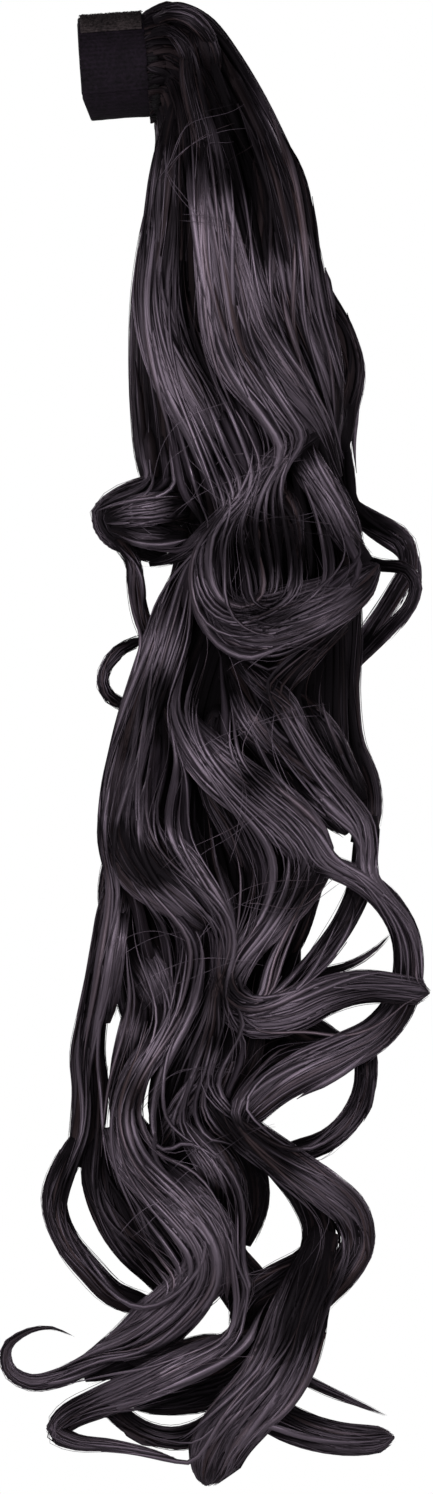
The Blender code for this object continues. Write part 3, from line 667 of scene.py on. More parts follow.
class HairMesh:
    """Collects points, faces and UV places in millimetres, and becomes one object."""

    def __init__(self):
        self.points, self.shades, self.faces, self.places, self.count = [], [], [], [], 0

    def add(self, points, faces, places, shade=0.0):
        """Adds points in millimetres, and the painted shade they get beyond their depth's; a negative one is
        painted light.
        """
        self.points.append(points.reshape(-1, 3))
        self.shades.append(np.broadcast_to(shade, points.shape[:-1]).reshape(-1))
        self.faces += [face + self.count for face in faces]
        self.places += [place.reshape(-1, 2) for place in places]
        self.count += len(self.points[-1])

    def made(self, name, material):
        data = bpy.data.meshes.new(name)
        corners = np.concatenate([f.reshape(-1) for f in self.faces])
        sizes = np.concatenate([np.full(len(f), f.shape[1]) for f in self.faces])
        points = np.concatenate(self.points)
        beyond = np.maximum(np.abs(points[:, 1]) - DEPTH_KEPT_MM, 0.0)
        points[:, 1] -= 0.5 * beyond * np.sign(points[:, 1])
        data.vertices.add(len(points))
        data.vertices.foreach_set("co", (points * MM).reshape(-1))
        data.loops.add(len(corners))
        data.loops.foreach_set("vertex_index", corners)
        data.polygons.add(len(sizes))
        data.polygons.foreach_set("loop_start", np.concatenate([[0], np.cumsum(sizes)[:-1]]))
        data.polygons.foreach_set("use_smooth", np.ones(len(sizes), bool))
        data.uv_layers.new(name="strands").data.foreach_set("uv", np.concatenate(self.places).reshape(-1))
        # The crest attribute is painted light and shade: the depth's own, the soft spots and each part's
        # painted shade.
        crest = data.attributes.new("crest", "FLOAT", "POINT")
        crest.data.foreach_set("value", painted_light_and_shade(points) - np.concatenate(self.shades))
        data.update()
        data.validate()
        data.materials.append(material)
        thing = bpy.data.objects.new(name, data)
        bpy.context.scene.collection.objects.link(thing)
        return thing


CREST_SPAN_MM = 8.0
PaintedSpot = namedtuple("PaintedSpot", "x z wide high shift")
# Soft spots of painted light and shade: a negative shift is painted shade where the tail lies in shadow, a
# positive one a painted highlight.
PAINTED_SPOTS = [
    PaintedSpot(58, -14, 9, 26, -0.5), PaintedSpot(30, -24, 6, 16, -0.35), PaintedSpot(42, -12, 9, 16, -0.8),
    PaintedSpot(78, -58, 9, 16, -0.7), PaintedSpot(54, -44, 9, 10, -0.6), PaintedSpot(70, -38, 9, 14, -0.7),
    PaintedSpot(71, -82, 10, 12, 0.6), PaintedSpot(46, -76, 9, 12, 0.1), PaintedSpot(40, 12, 14, 8, -0.5),
    PaintedSpot(39, -147, 8, 9, 0.3), PaintedSpot(45, -169, 6, 7, -0.6), PaintedSpot(72, -180, 20, 14, -1.1),
    PaintedSpot(71, -206, 14, 8, -0.6), PaintedSpot(88, -224, 13, 9, -0.8), PaintedSpot(50, -230, 8, 12, -0.6),
    PaintedSpot(73, -236, 9, 9, -0.9), PaintedSpot(26, -302, 8, 8, -0.45), PaintedSpot(28, -236, 7, 11, -0.5),
    PaintedSpot(80, -312, 12, 12, -0.6), PaintedSpot(64, -267, 9, 8, -0.55), PaintedSpot(55, -346, 10, 10, -0.9),
    PaintedSpot(51, -364, 9, 8, -0.7), PaintedSpot(21, -384, 8, 12, -0.8), PaintedSpot(76, -407, 11, 11, -0.8),
    PaintedSpot(58, -397, 9, 8, -0.8), PaintedSpot(62, -420, 10, 16, -0.5), PaintedSpot(-3, -421, 9, 12, -0.7),
    PaintedSpot(90, -453, 9, 12, -0.8), PaintedSpot(80, -466, 11, 13, -0.8), PaintedSpot(17, -284, 6, 9, -0.4),
]


def painted_light_and_shade(points):
    """Painted light and shade of each point: near 1 on a crest of the tail's surface, near 0 deep in a hollow
    where shade falls, lowered or raised by the painted spots.
    """
    x, z = points[:, 0], points[:, 2]
    column, row = cell_of(x, z)
    front = points[:, 1] < 0
    depths, covers = zip(*envelopes)
    around = np.where(front, depths[0][column, row], depths[1][column, row])
    cover = np.where(front, covers[0][column, row], covers[1][column, row])
    crest = np.clip(0.5 + (np.abs(points[:, 1]) - around) / CREST_SPAN_MM, 0.0, 1.0)
    crest = np.maximum(crest, 0.5 * smoothstep((0.9 - cover) / 0.4))
    for tone in PAINTED_SPOTS:
        near = np.exp(-(((x - tone.x) / tone.wide) ** 2) - ((z - tone.z) / tone.high) ** 2)
        crest = crest + tone.shift * near * front
    return crest


print("soft spots of tone:", len(PAINTED_SPOTS))

# %% [markdown]
# A tuft is a flat tube with four sides, or six where it is thick, and a strand is a thin one with three,
# because there are thousands of them. Both ends are closed and the faces look outward. The underside of a
# lock's core reaches down to the body of the tail where it stands off it, or light would show between them
# from the side.

# %% Closed tubes along lines
FLAT_TURNS = np.radians([0, 42, 138, 180, 222, 318])


def add_tubes(mesh, lines, normals, wide, thick, sides, tones, shade=0.0):
    """Closed flat tubes along lines of points, as wide and thick as told all along."""
    count, rings, _ = lines.shape
    ahead = np.gradient(lines, axis=1)
    ahead = ahead / np.maximum(np.linalg.norm(ahead, axis=2), 1e-9)[..., None]
    across = np.cross(ahead, normals)
    across = across / np.maximum(np.linalg.norm(across, axis=2), 1e-6)[..., None]
    out = np.cross(across, ahead)
    turns = np.array(FLAT_TURNS if sides == 6 else 2 * np.pi * np.arange(sides) / sides)
    ring = [lines + across * (0.5 * wide * math.cos(t))[..., None]
            + out * (0.5 * thick * math.sin(t))[..., None]
            for t in turns]
    points = np.stack(ring, axis=2)
    first = (np.arange(rings - 1)[:, None] * sides + np.arange(sides)[None, :]).reshape(-1)
    after = (np.arange(rings - 1)[:, None] * sides + (np.arange(sides)[None, :] + 1) % sides).reshape(-1)
    one = np.stack([first, first + sides, after + sides, after], axis=1)
    starts = np.arange(count)[:, None] * rings * sides
    quads = (one[None] + starts[:, :, None]).reshape(-1, 4)
    low = np.arange(sides)[None, :] + starts
    high = np.arange(sides)[::-1][None, :] + (rings - 1) * sides + starts
    walked = np.cumsum(np.linalg.norm(np.diff(lines, axis=1), axis=2), axis=1)
    walked = np.concatenate([np.zeros((count, 1)), walked], axis=1)
    over = 0.5 * wide.mean() * np.cos(np.concatenate([turns, turns[:1]]))
    columns = np.tile(np.arange(sides), rings - 1)
    along = np.repeat(np.arange(rings - 1), sides)
    corners = []
    round_face = ((columns, along), (columns, along + 1), (columns + 1, along + 1), (columns + 1, along))
    for column, ring_of in round_face:
        u = tones[:, None] + over[column][None, :]
        corners.append(np.stack([u, walked[:, ring_of] + 31.0 * tones[:, None]], axis=-1))
    places = np.stack(corners, axis=2)
    ends = np.repeat(np.stack([tones, 31.0 * tones], axis=-1), sides, axis=0)
    shade = np.broadcast_to(shade, lines.shape[:2])[:, :, None]
    mesh.add(points, [quads, low, high], [places, ends, ends], np.broadcast_to(shade, points.shape[:-1]))


def end_shade(bundle, at, free):
    """Painted shade near the ends of a lock, where it comes out of the mass and lies in shadow."""
    from_start = at * bundle.along[-1]
    shade = 0.5 * (1.0 - smoothstep(from_start / 16.0))
    if not free:
        shade = shade + 0.5 * (1.0 - smoothstep((bundle.along[-1] - from_start) / 16.0))
    return shade


def reach_down(points, turn, below):
    """Lowers the underside of a core to the body of the tail, so that no light comes in between."""
    column, row = cell_of(points[..., 0], points[..., 2])
    depth = np.abs(points[..., 1])
    gap = np.clip(depth - (below[column, row] - 0.8), 0.0, 16.0)
    share = smoothstep(-np.cos(turn) * 2.0) * (below[column, row] > 3.0)
    points[..., 1] -= np.sign(points[..., 1]) * gap * share


def add_core(mesh, bundle, seed, sides=20, ring_mm=4.0, shrink=0.05, free=True, below=None):
    """A plain core under the tufts, through the bundle's own sections."""
    rings = max(6, int(bundle.along[-1] / ring_mm))
    at, turn = np.meshgrid(np.linspace(0.0, 1.0, rings), 2 * np.pi * np.arange(sides) / sides, indexing="ij")
    close = np.sqrt(np.clip(np.minimum(at, 1 - at) * 9, 0.0, 1.0))
    lift = -shrink - (1 - close) * min(3.0, 0.5 * bundle.half_deep.min())
    points, _ = on_bundle(bundle, at, turn, lift)
    if below is not None:
        reach_down(points, turn, below)
    ring = np.arange(rings - 1)[:, None] * sides
    step = np.arange(sides)[None, :]
    after = (step + 1) % sides
    quads = np.stack([ring + step, ring + after, ring + sides + after, ring + sides + step], axis=-1)
    quads = quads.reshape(-1, 4)
    low = np.arange(sides)[::-1][None, :]
    high = np.arange(sides)[None, :] + (rings - 1) * sides
    lengths = np.linspace(0.0, bundle.along[-1], rings)
    across = girth_of(bundle) * np.arange(sides + 1) / sides + 57.0 * (seed % 97)
    first = np.repeat(np.arange(rings - 1), sides)
    column = np.tile(np.arange(sides), rings - 1)
    corners = [(column, first), (column + 1, first), (column + 1, first + 1), (column, first + 1)]
    places = np.stack([np.stack([across[c], lengths[r]], -1) for c, r in corners], axis=1)
    end = np.zeros((sides, 2))
    if np.dot(np.cross(bundle.up[0], bundle.side[0]), bundle.centre[1] - bundle.centre[0]) < 0:
        quads, low, high, places = quads[:, ::-1], low[:, ::-1], high[:, ::-1], places[:, ::-1]
    # The core shows between the tufts, so it carries a little painted shade all along and more near its ends.
    mesh.add(points, [quads, low, high], [places, end, end], 0.08 + end_shade(bundle, at, free))


def add_hair(mesh, bundle, seed, count, wide, thick, ring_mm, sides, begin, end, around, drift, lift,
             loose=0.0, free=True, blunt=3.2, shade=0.0):
    """Tufts or strands lying along a bundle."""
    chance = np.random.default_rng(seed)
    rings = max(8, int(bundle.along[-1] / ring_mm))
    share = np.linspace(0.0, 1.0, rings)[None, :]
    first = chance.uniform(0.0, begin, (count, 1))
    last = 1.0 - chance.uniform(0.0, end, (count, 1))
    at = first + (last - first) * share
    spread = (np.arange(count)[:, None] + chance.uniform(0.1, 0.9, (count, 1))) / count
    turn = around * math.pi * (2.0 * spread - 1.0)
    sway = chance.uniform(0.5, 1.6, (count, 1))
    phase = chance.uniform(0.0, 2 * np.pi, (count, 1))
    turn = turn + drift * chance.uniform(0.4, 1.2, (count, 1)) * np.sin(sway * 2 * np.pi * share + phase)
    wave = np.sin(chance.uniform(0.6, 2.0, (count, 1)) * 2 * np.pi * share + phase * 1.7)
    rise = lift * (chance.uniform(0.0, 1.0, (count, 1)) + 0.5 * wave)
    rise = rise + loose * chance.uniform(0.0, 1.0, (count, 1)) ** 4 * np.sin(np.pi * share)
    lines, normals = on_bundle(bundle, at, turn, rise)
    taper = np.clip(share * 6, 0.35, 1.0) * np.clip((1.0 - share) * blunt, 0.06, 1.0) ** 0.8
    size = chance.uniform(*wide, (count, 1)) * taper
    depth = chance.uniform(*thick, (count, 1)) * np.clip(taper * 1.4, 0.1, 1.0)
    # Painted shade near the lock's ends, on top of the shade that is given.
    shade = shade + end_shade(bundle, at, free)
    add_tubes(mesh, lines, normals, size, depth, sides, 900.0 * chance.uniform(0, 1, count), shade)


print("mesh makers ready")

# %% [markdown]
# Now all the bundles are laid, first without making any mesh, because the painted shade of the finish
# wants to know where the crests and hollows of the whole tail will be.

# %% Lay every lock
fall = body_bundle(UPPER_FALL, -1.0)
fall = fall._replace(half_wide=fall.half_wide - 1.3, half_deep=fall.half_deep - 0.8)
core = body_bundle(INNER_HAIR, -1.0)
laid, envelopes, fields, flows, bare = [], [], [], [], []
for locks, away in ((FRONT_LOCKS, -1.0), (BACK_LOCKS, 1.0)):
    field, flow = DepthField(), Flow()
    lay_body(fall, field, flow)
    lay_body(core, field, flow)
    bare.append(field.reach.copy())
    for lock in [one for named in locks for one in (named, *EXTRA_LOCKS.get(named.name, ()))]:
        laid.append((lock, lock_bundle(lock, field, flow, away), 1000 + 37 * len(laid)))
    flow.settle()
    fields.append(field)
    flows.append(flow)
    envelopes.append(field.envelope())
print(len(laid), "locks laid; the hair reaches", round(fields[0].reach.max()), "mm in front and",
      round(fields[1].reach.max()), "mm behind")

# %% Make a piece of each


def finished(thing, node):
    """Hangs a piece on the root body, hides the CAD part that it is drawn instead of, and counts its
    triangles.
    """
    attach(thing, "root")
    if node:
        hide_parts(node)
    tally[thing.name] = sum(len(p.vertices) - 2 for p in thing.data.polygons)


def piece(mesh, name, material, node):
    finished(mesh.made(name, material), node)


tally = {}
frame_nodes = {lock.name for lock in FRONT_LOCKS + BACK_LOCKS}
fall_mesh = HairMesh()
add_core(fall_mesh, fall, 11, 80, 3.0, 0.0)
add_hair(fall_mesh, fall, 11, 150, wide=(1.2, 3.6), thick=(0.35, 0.7), ring_mm=5.0, sides=4,
         begin=0.02, end=0.2, around=1.0, drift=0.06, lift=0.12)
add_hair(fall_mesh, fall, 12, 200, wide=(0.25, 0.4), thick=(0.2, 0.3), ring_mm=6.0, sides=3,
         begin=0.25, end=0.3, around=1.0, drift=0.09, lift=0.4, loose=1.2)
piece(fall_mesh, "smooth_fall", HAIR, "upper_fall")
# The hair inside the tail gets the darkened finish, painted shade.
core_mesh = HairMesh()
add_core(core_mesh, core, 23, 40, 3.0, 0.0)
add_hair(core_mesh, core, 24, 60, wide=(2.0, 4.0), thick=(0.8, 1.2), ring_mm=6.0, sides=6,
         begin=0.02, end=0.05, around=1.0, drift=0.1, lift=0.8)
piece(core_mesh, "shaded_inner_hair", PAINTED_SHADE_HAIR, "inner_hair")
for lock, bundle, seed in laid:
    mesh = HairMesh()
    widest = 2 * bundle.half_wide.max()
    free = lock.name in FREE_TIPS
    behind = int(bundle.centre[:, 1].mean() > 0)
    add_core(mesh, bundle, seed, free=free, below=bare[behind])
    tufts = int(np.clip(girth_of(bundle) / 1.5, 8, 34))
    broad = (0.7 + 0.02 * widest, 1.5 + 0.07 * widest)
    blunt, ends = (9.0, 0.03) if free and FREE_TIPS[lock.name] < BLUNT_TIP_MM else (3.2, 0.14)
    around = 0.8 if lock.name in BROAD_LOCKS else 1.0
    add_hair(mesh, bundle, seed, tufts, wide=broad, thick=(0.3, 0.5), ring_mm=3.9, sides=4,
             begin=0.16, end=ends, around=around, drift=0.25, lift=0.12, free=free, blunt=blunt)
    fine = 8 + int(0.8 * widest)
    # The single strands get a negative shade: painted light, as they lie on top of the tufts.
    add_hair(mesh, bundle, seed + 1, fine, wide=(0.2, 0.36), thick=(0.18, 0.26), ring_mm=4.6, sides=3,
             begin=0.2, end=0.1, around=around, drift=0.3, lift=0.35, loose=1.0, free=free, shade=-0.3)
    piece(mesh, lock.name + "_hair", HAIR, lock.name if lock.name in frame_nodes else None)
print("locks:", sum(tally.values()), "triangles so far, the largest piece", max(tally.values()))

# %% [markdown]
# Between the locks the tail is not bare: loose tufts run from one lock to the next. Their way is read from
# the flow map, which holds the direction of the lock on top at each place. A tuft starts anywhere on the
# tail and takes small steps along the flow, and its height is read from the depth map afterwards. Deeper
# tufts fill the space between the body and the locks, finer ones lie on top, and a few flyaway strands
# cross the locks at their own slant. The deeper tufts have the darkened finish: painted shade for hair that
# lies in the shadow between the locks.

# %% Hair that follows the flow
START_DEPTH, EDGE_DEPTH, FEWEST_STEPS = 4.0, 2.5, 5


def traced(flow, reach, seed, count, steps, step_mm, stray):
    """Lines that follow the flow over the laid hair, each cut where it leaves it."""
    chance = np.random.default_rng(seed)
    columns, rows = np.nonzero(reach > START_DEPTH)
    pick = chance.integers(0, len(columns), count)
    x = columns[pick] + LEFT + chance.uniform(0, 1, count)
    z = rows[pick] + LOW + chance.uniform(0, 1, count)
    go_x, go_z = flow.axis(x, z)
    flip = np.where(go_z > 0, -1.0, 1.0)
    go_x, go_z = go_x * flip, go_z * flip
    bend = stray * chance.normal(0, 1, count)
    line_x, line_z, inside = [x], [z], [np.ones(count, bool)]
    for step in range(steps):
        way_x, way_z = flow.axis(x, z)
        flip = np.where(way_x * go_x + way_z * go_z < 0, -1.0, 1.0)
        go_x, go_z = 0.6 * go_x + 0.4 * flip * way_x, 0.6 * go_z + 0.4 * flip * way_z
        go_x, go_z = go_x + bend * go_z, go_z - bend * go_x
        size = np.hypot(go_x, go_z)
        go_x, go_z = go_x / size, go_z / size
        x, z = x + step_mm * go_x, z + step_mm * go_z
        column, row = cell_of(x, z)
        line_x.append(x)
        line_z.append(z)
        inside.append(inside[-1] & (reach[column, row] > EDGE_DEPTH))
    length = np.sum(inside, axis=0) - 1
    long_enough = length > FEWEST_STEPS
    length = length * chance.uniform(0.6, 1.0, count)
    return np.stack(line_x, 1)[long_enough], np.stack(line_z, 1)[long_enough], length[long_enough]


def resampled(lines, length, rings):
    place = length[:, None] * np.linspace(0.0, 1.0, rings)[None, :]
    low = np.minimum(place.astype(int), lines.shape[1] - 2)
    part = place - low
    pick = np.arange(len(lines))[:, None]
    return lines[pick, low] * (1 - part) + lines[pick, low + 1] * part


def add_flow_hair(mesh, flow, field, away, seed, count, wide, thick, sides, rings, lift, stray, steps=40):
    line_x, line_z, length = traced(flow, field, seed, count, steps, 2.5, stray)
    count = len(length)
    x, z = resampled(line_x, length, rings), resampled(line_z, length, rings)
    chance = np.random.default_rng(seed + 1)
    column, row = cell_of(x, z)
    height = field[column, row]
    wide_height = [height]
    for step in (1, 2, 3):
        padded = np.pad(height, ((0, 0), (step, step)), mode="edge")
        wide_height += [padded[:, 2 * step:], padded[:, :-2 * step]]
    height = np.max(wide_height, axis=0)
    for _ in range(10):
        padded = np.pad(height, ((0, 0), (1, 1)), mode="edge")
        height = (padded[:, 2:] + padded[:, :-2] + 2 * height) / 4
    share = np.linspace(0.0, 1.0, rings)[None, :]
    arch = np.sin(np.pi * share)
    rise = lift * chance.uniform(-0.3, 1.0, (count, 1)) * arch**0.5 - 0.9 * (1 - arch)
    lines = np.stack([x, away * (height + rise), z], axis=-1)
    normals = np.broadcast_to(np.array([0.0, away, 0.0]), lines.shape)
    taper = np.clip(share * 4, 0.2, 1.0) * np.clip((1.0 - share) * 3, 0.08, 1.0)
    size = chance.uniform(*wide, (count, 1)) * taper
    depth = chance.uniform(*thick, (count, 1)) * taper
    add_tubes(mesh, lines, normals, size, depth, sides, 900.0 * chance.uniform(0, 1, count))


Layer = namedtuple("Layer", "seed count wide thick sides rings lift stray")
UNDER_LEVELS = (0.0, 0.3, 0.55, 0.8)
OVER_LAYERS = [
    Layer(77, 90, (2.0, 4.0), (0.7, 1.1), 4, 22, 0.2, 0.015),
    Layer(81, 260, (0.8, 2.0), (0.3, 0.5), 4, 20, 0.4, 0.03),
    Layer(91, 420, (0.18, 0.3), (0.16, 0.24), 3, 22, 1.2, 0.05),
]
for label, side, away, share in (("front", 0, -1.0, 1.0), ("back", 1, 1.0, 0.5)):
    under = HairMesh()
    well_inside = blurred((fields[side].reach > HAIR_ABOVE).astype(float), 2.0) > 0.93
    for level in UNDER_LEVELS:
        between = bare[side] + level * np.maximum(blurred(fields[side].reach, 2.0) - bare[side] - 2.0, 0.0)
        between = np.where(well_inside, between, NO_HAIR)
        add_flow_hair(under, flows[side], between, away, 71 + side + int(50 * level), int(100 * share),
                      wide=(2.5, 5.0), thick=(1.2, 2.2), sides=4, rings=18, lift=1.5, stray=0.01)
    # The deep tufts have the darkened finish: painted shade.
    piece(under, "loose_tufts_" + label, PAINTED_SHADE_HAIR, None)
    over = HairMesh()
    reach = fields[side].reach
    for layer in OVER_LAYERS:
        add_flow_hair(over, flows[side], reach, away, layer.seed + side, int(layer.count * share), *layer[2:])
    piece(over, "loose_strands_" + label, HAIR, None)

print("hair along the flow:", sum(tally.values()), "triangles so far")

# %% [markdown]
# A few single hairs always escape and cross the locks at a slant. Each row of FLYAWAYS says where a pair of
# them begins and ends and how far it bows. They float a little over the hair, or the locks would cut them
# into dashes.

# %% Stray hairs across the locks
Flyaway = namedtuple("Flyaway", "from_x from_z to_x to_z bow")
FLYAWAYS = [
    Flyaway(33, -43, 62, -22, 5), Flyaway(48, -42, 63, -29, 4), Flyaway(28, -48, 60, -21, 6),
    Flyaway(30, -30, 52, -58, -6), Flyaway(40, -60, 66, -74, 5), Flyaway(24, -160, 60, -128, 8),
    Flyaway(36, -172, 84, -150, 9), Flyaway(44, -150, 92, -176, -10), Flyaway(56, -194, 90, -168, 8),
    Flyaway(60, -214, 98, -196, 6), Flyaway(56, -232, 90, -218, 5), Flyaway(40, -262, 88, -244, 7),
    Flyaway(34, -300, 80, -278, 8), Flyaway(60, -310, 96, -300, -6), Flyaway(44, -330, 90, -312, 8),
    Flyaway(24, -350, 64, -334, 7), Flyaway(10, -330, 40, -322, 5), Flyaway(20, -392, 62, -378, 8),
    Flyaway(30, -412, 70, -398, 6), Flyaway(14, -440, 48, -424, 6), Flyaway(34, -470, 70, -452, 6),
    Flyaway(20, -488, 66, -478, 5), Flyaway(50, -250, 58, -300, 9), Flyaway(72, -236, 74, -276, -8),
]
flying = HairMesh()
chance = np.random.default_rng(31)
share = np.linspace(0.0, 1.0, 26)
for from_x, from_z, to_x, to_z, bow in FLYAWAYS:
    for _ in range(2):
        jitter = chance.normal(0, 3.5, 4)
        begin = np.array([from_x + jitter[0], from_z + jitter[1]])
        stop = np.array([to_x + jitter[2], to_z + jitter[3]])
        across = np.array([begin[1] - stop[1], stop[0] - begin[0]]) / np.linalg.norm(stop - begin)
        swing = bow * chance.uniform(0.4, 1.3) * np.sin(np.pi * share)
        swing = swing + chance.normal(0, 0.8) * np.sin(9 * share)
        flat_line = begin + (stop - begin) * share[:, None] + across * swing[:, None]
        column, row = cell_of(flat_line[:, 0], flat_line[:, 1])
        height = fields[0].reach[column, row]
        under = averaged(averaged(eased(height, 9), 7), 5) + 3.6 + 1.6 * np.sin(np.pi * share)
        line = np.stack([flat_line[:, 0], -under, flat_line[:, 1]], axis=-1)[None]
        ends = np.clip(np.minimum(share, 1 - share) * 12, 0.3, 1.0)[None]
        # A shade of -0.1 gives the flyaways a little painted light.
        add_tubes(flying, line, np.broadcast_to([0.0, -1.0, 0.0], line.shape), 0.24 * ends, 0.2 * ends, 3,
                  chance.uniform(0, 900, 1), -0.1)
piece(flying, "flyaway_strands", HAIR, None)
print("all hair:", sum(tally.values()), "triangles, the largest piece", max(tally.values()))

# %% [markdown]
# The tube is a strip of soft tape, rolled round a gathered tail and pressed shut: the end of the strip laps
# over the start, and a strip of looped pile lies on top. A cylinder with no ends is bent cloth already, so
# each strip starts as one. Its walls are cut into rows, the faces outside its arc are deleted, Solidify
# gives it its thickness and Bevel rounds its edges. A little noise then moves its points, because cloth
# never lies quite true.

# %% The cloth finish


def cloth_finish(name, dark, light, ribs, rib_mm, rough):
    finish = Finish(name)
    place = finish.node("ShaderNodeTexCoord", {}, {}, "Object")
    grain = finish.noise(place, 900.0, 3.0, 0.6)
    cloud = finish.noise(place, 110.0, 3.0, 0.5)
    weave = finish.node("ShaderNodeUVMap", {"uv_map": "UVMap"}, {})
    settings = {"wave_type": "BANDS", "bands_direction": "X"}
    lines = finish.node("ShaderNodeTexWave", settings, {"Vector": weave, "Scale": ribs, "Distortion": 0.6},
                        "Fac")
    tone = grain * 1.6 + cloud * 0.9 + lines * 0.15 - 0.95
    finish.give(Base_Color=finish.blend(finish.node("ShaderNodeClamp", {}, {"Value": tone}), dark, light))
    finish.give(Roughness=rough, Specular_IOR_Level=0.12)
    finish.raise_by(grain + 0.3 * lines, rib_mm * MM, 0.8)
    return finish.material


CLOTH = cloth_finish("black_tape_cloth", (0.0012, 0.0006, 0.0014), (0.0115, 0.0065, 0.0130), 22.0, 0.3, 0.85)
PILE = cloth_finish("looped_pile", (0.008, 0.0062, 0.0068), (0.064, 0.049, 0.052), 40.0, 0.4, 1.0)
THREAD = cloth_finish("sewing_thread", (0.002, 0.0018, 0.002), (0.012, 0.010, 0.012), 60.0, 0.1, 0.8)
print("cloth finishes:", CLOTH.name, PILE.name, THREAD.name)

# %% Roll a strip of cloth
BAND_TILT = math.radians(4.0)
UPRIGHT = Matrix.Rotation(-BAND_TILT, 4, "Y") @ Matrix.Rotation(math.pi / 2, 4, "Y")
LEVEL = Matrix.Rotation(BAND_TILT, 4, "Y")
BAND_LENGTH = 25.6
TUBE_RADIUS, TUBE_WALL = 16.6, 1.9
LAP_RADIUS, LAP_WALL, LAP_LENGTH = 18.75, 1.6, 25.0
LAP_START, LAP_STOP = math.radians(-30), math.radians(215)
PILE_RADIUS, PILE_WALL, PILE_LENGTH, PILE_FROM = 20.6, 0.8, 23.0, 1.2
PILE_START, PILE_STOP = math.radians(39), math.radians(140)
WEFT_X, WEFT_RADIUS, WEFT_HALF_THICK = 27.3, 18.9, 1.35


def deselect():
    if bpy.context.object and bpy.context.object.mode != "OBJECT":
        bpy.ops.object.mode_set(mode="OBJECT")
    bpy.ops.object.select_all(action="DESELECT")


def select_faces(thing, chosen):
    """Selects the faces for which chosen says yes, and leaves the object in edit mode."""
    for face in thing.data.polygons:
        face.select = chosen(face)
    bpy.ops.object.mode_set(mode="EDIT")
    bpy.ops.mesh.select_mode(type="FACE")


def turn_of(point):
    """The angle round the tube, from the front upwards."""
    level = LEVEL @ point
    return math.atan2(level.z, -level.y) % (2 * math.pi)


def rolled_cloth(name, radius, wall, start, stop, from_x, length, material):
    """Cloth lying on a cylinder between two angles, counted from the front upwards."""
    deselect()
    bpy.ops.mesh.primitive_cylinder_add(vertices=120, radius=radius * MM, depth=length * MM,
                                        end_fill_type="NOTHING")
    thing = bpy.context.object
    thing.name = name
    thing.data.name = name
    bpy.ops.object.mode_set(mode="EDIT")
    bpy.ops.mesh.select_mode(type="EDGE")
    bpy.ops.mesh.select_all(action="DESELECT")
    bpy.ops.object.mode_set(mode="OBJECT")
    for edge in thing.data.edges:
        ends = [thing.data.vertices[v].co.z for v in edge.vertices]
        edge.select = abs(ends[0] - ends[1]) > 0.5 * length * MM
    bpy.ops.object.mode_set(mode="EDIT")
    bpy.ops.mesh.subdivide(number_cuts=9)
    bpy.ops.mesh.select_all(action="DESELECT")
    bpy.ops.object.mode_set(mode="OBJECT")
    thing.data.transform(UPRIGHT @ Matrix.Translation((0, 0, (from_x + length / 2) * MM)))
    if stop - start < 2 * math.pi:
        select_faces(thing, lambda face: (turn_of(face.center) - start) % (2 * math.pi) > stop - start)
        bpy.ops.mesh.delete(type="FACE")
        bpy.ops.object.mode_set(mode="OBJECT")
    soften(thing, name)
    wall_of = thing.modifiers.new("wall", "SOLIDIFY")
    wall_of.thickness = wall * MM
    wall_of.offset = 1.0
    bpy.ops.object.modifier_apply(modifier=wall_of.name)
    edge = thing.modifiers.new("edge", "BEVEL")
    edge.width = 0.42 * wall * MM
    edge.segments = 3
    edge.limit_method = "ANGLE"
    edge.angle_limit = math.radians(50)
    bpy.ops.object.modifier_apply(modifier=edge.name)
    bpy.ops.object.shade_smooth_by_angle(angle=math.radians(40))
    thing.data.materials.clear()
    thing.data.materials.append(material)
    return thing


def sag(height, unit=1.0):
    """How far the cloth hangs down at a height: the tube is not round, but flatter above and deeper below."""
    return 0.08 * np.minimum(height, 0.0) - 0.075 * np.maximum(height, 0.0) - 1.0 * unit


def soften(thing, name):
    """Moves the cloth a little in and out, and slants the lower part of the mouth as the real one slants."""
    offset = Vector((len(name) * 7.0, 3.0, 5.0))
    for vertex in thing.data.vertices:
        level = LEVEL @ vertex.co
        outward = Vector((0.0, level.y, level.z)).normalized()
        wave = noise.noise(vertex.co * 90.0 + offset) * 0.35 + noise.noise(vertex.co * 260.0 + offset) * 0.12
        near_mouth = max(0.0, 1.0 - level.x / (14.0 * MM))
        low = max(0.0, min(1.0, (-level.z / MM - 9.0) / 9.5))
        level = level + outward * wave * MM + Vector((3.2 * low * near_mouth * MM, 0.0, sag(level.z, MM)))
        vertex.co = LEVEL.inverted() @ level


print("a strip of", BAND_LENGTH, "mm can be rolled")

# %% The tube and its lap
tube = rolled_cloth("tape_tube", TUBE_RADIUS, TUBE_WALL, 0.0, 2 * math.pi, 0.0, BAND_LENGTH, CLOTH)
lap = rolled_cloth("tape_lap", LAP_RADIUS, LAP_WALL, LAP_START, LAP_STOP, 0.3, LAP_LENGTH, CLOTH)
finished(tube, "wrap_band")
finished(lap, "closing_flap")
print("tube and lap:", tally["tape_tube"], "and", tally["tape_lap"], "triangles")

# %% [markdown]
# The pile is a mat of fine loops, and its fuzz catches the light at the top of the tube. The tape under it
# is a strip like the others. The fibres are made as arrays, some thousands of short bent threads of few
# faces, standing on the tape.

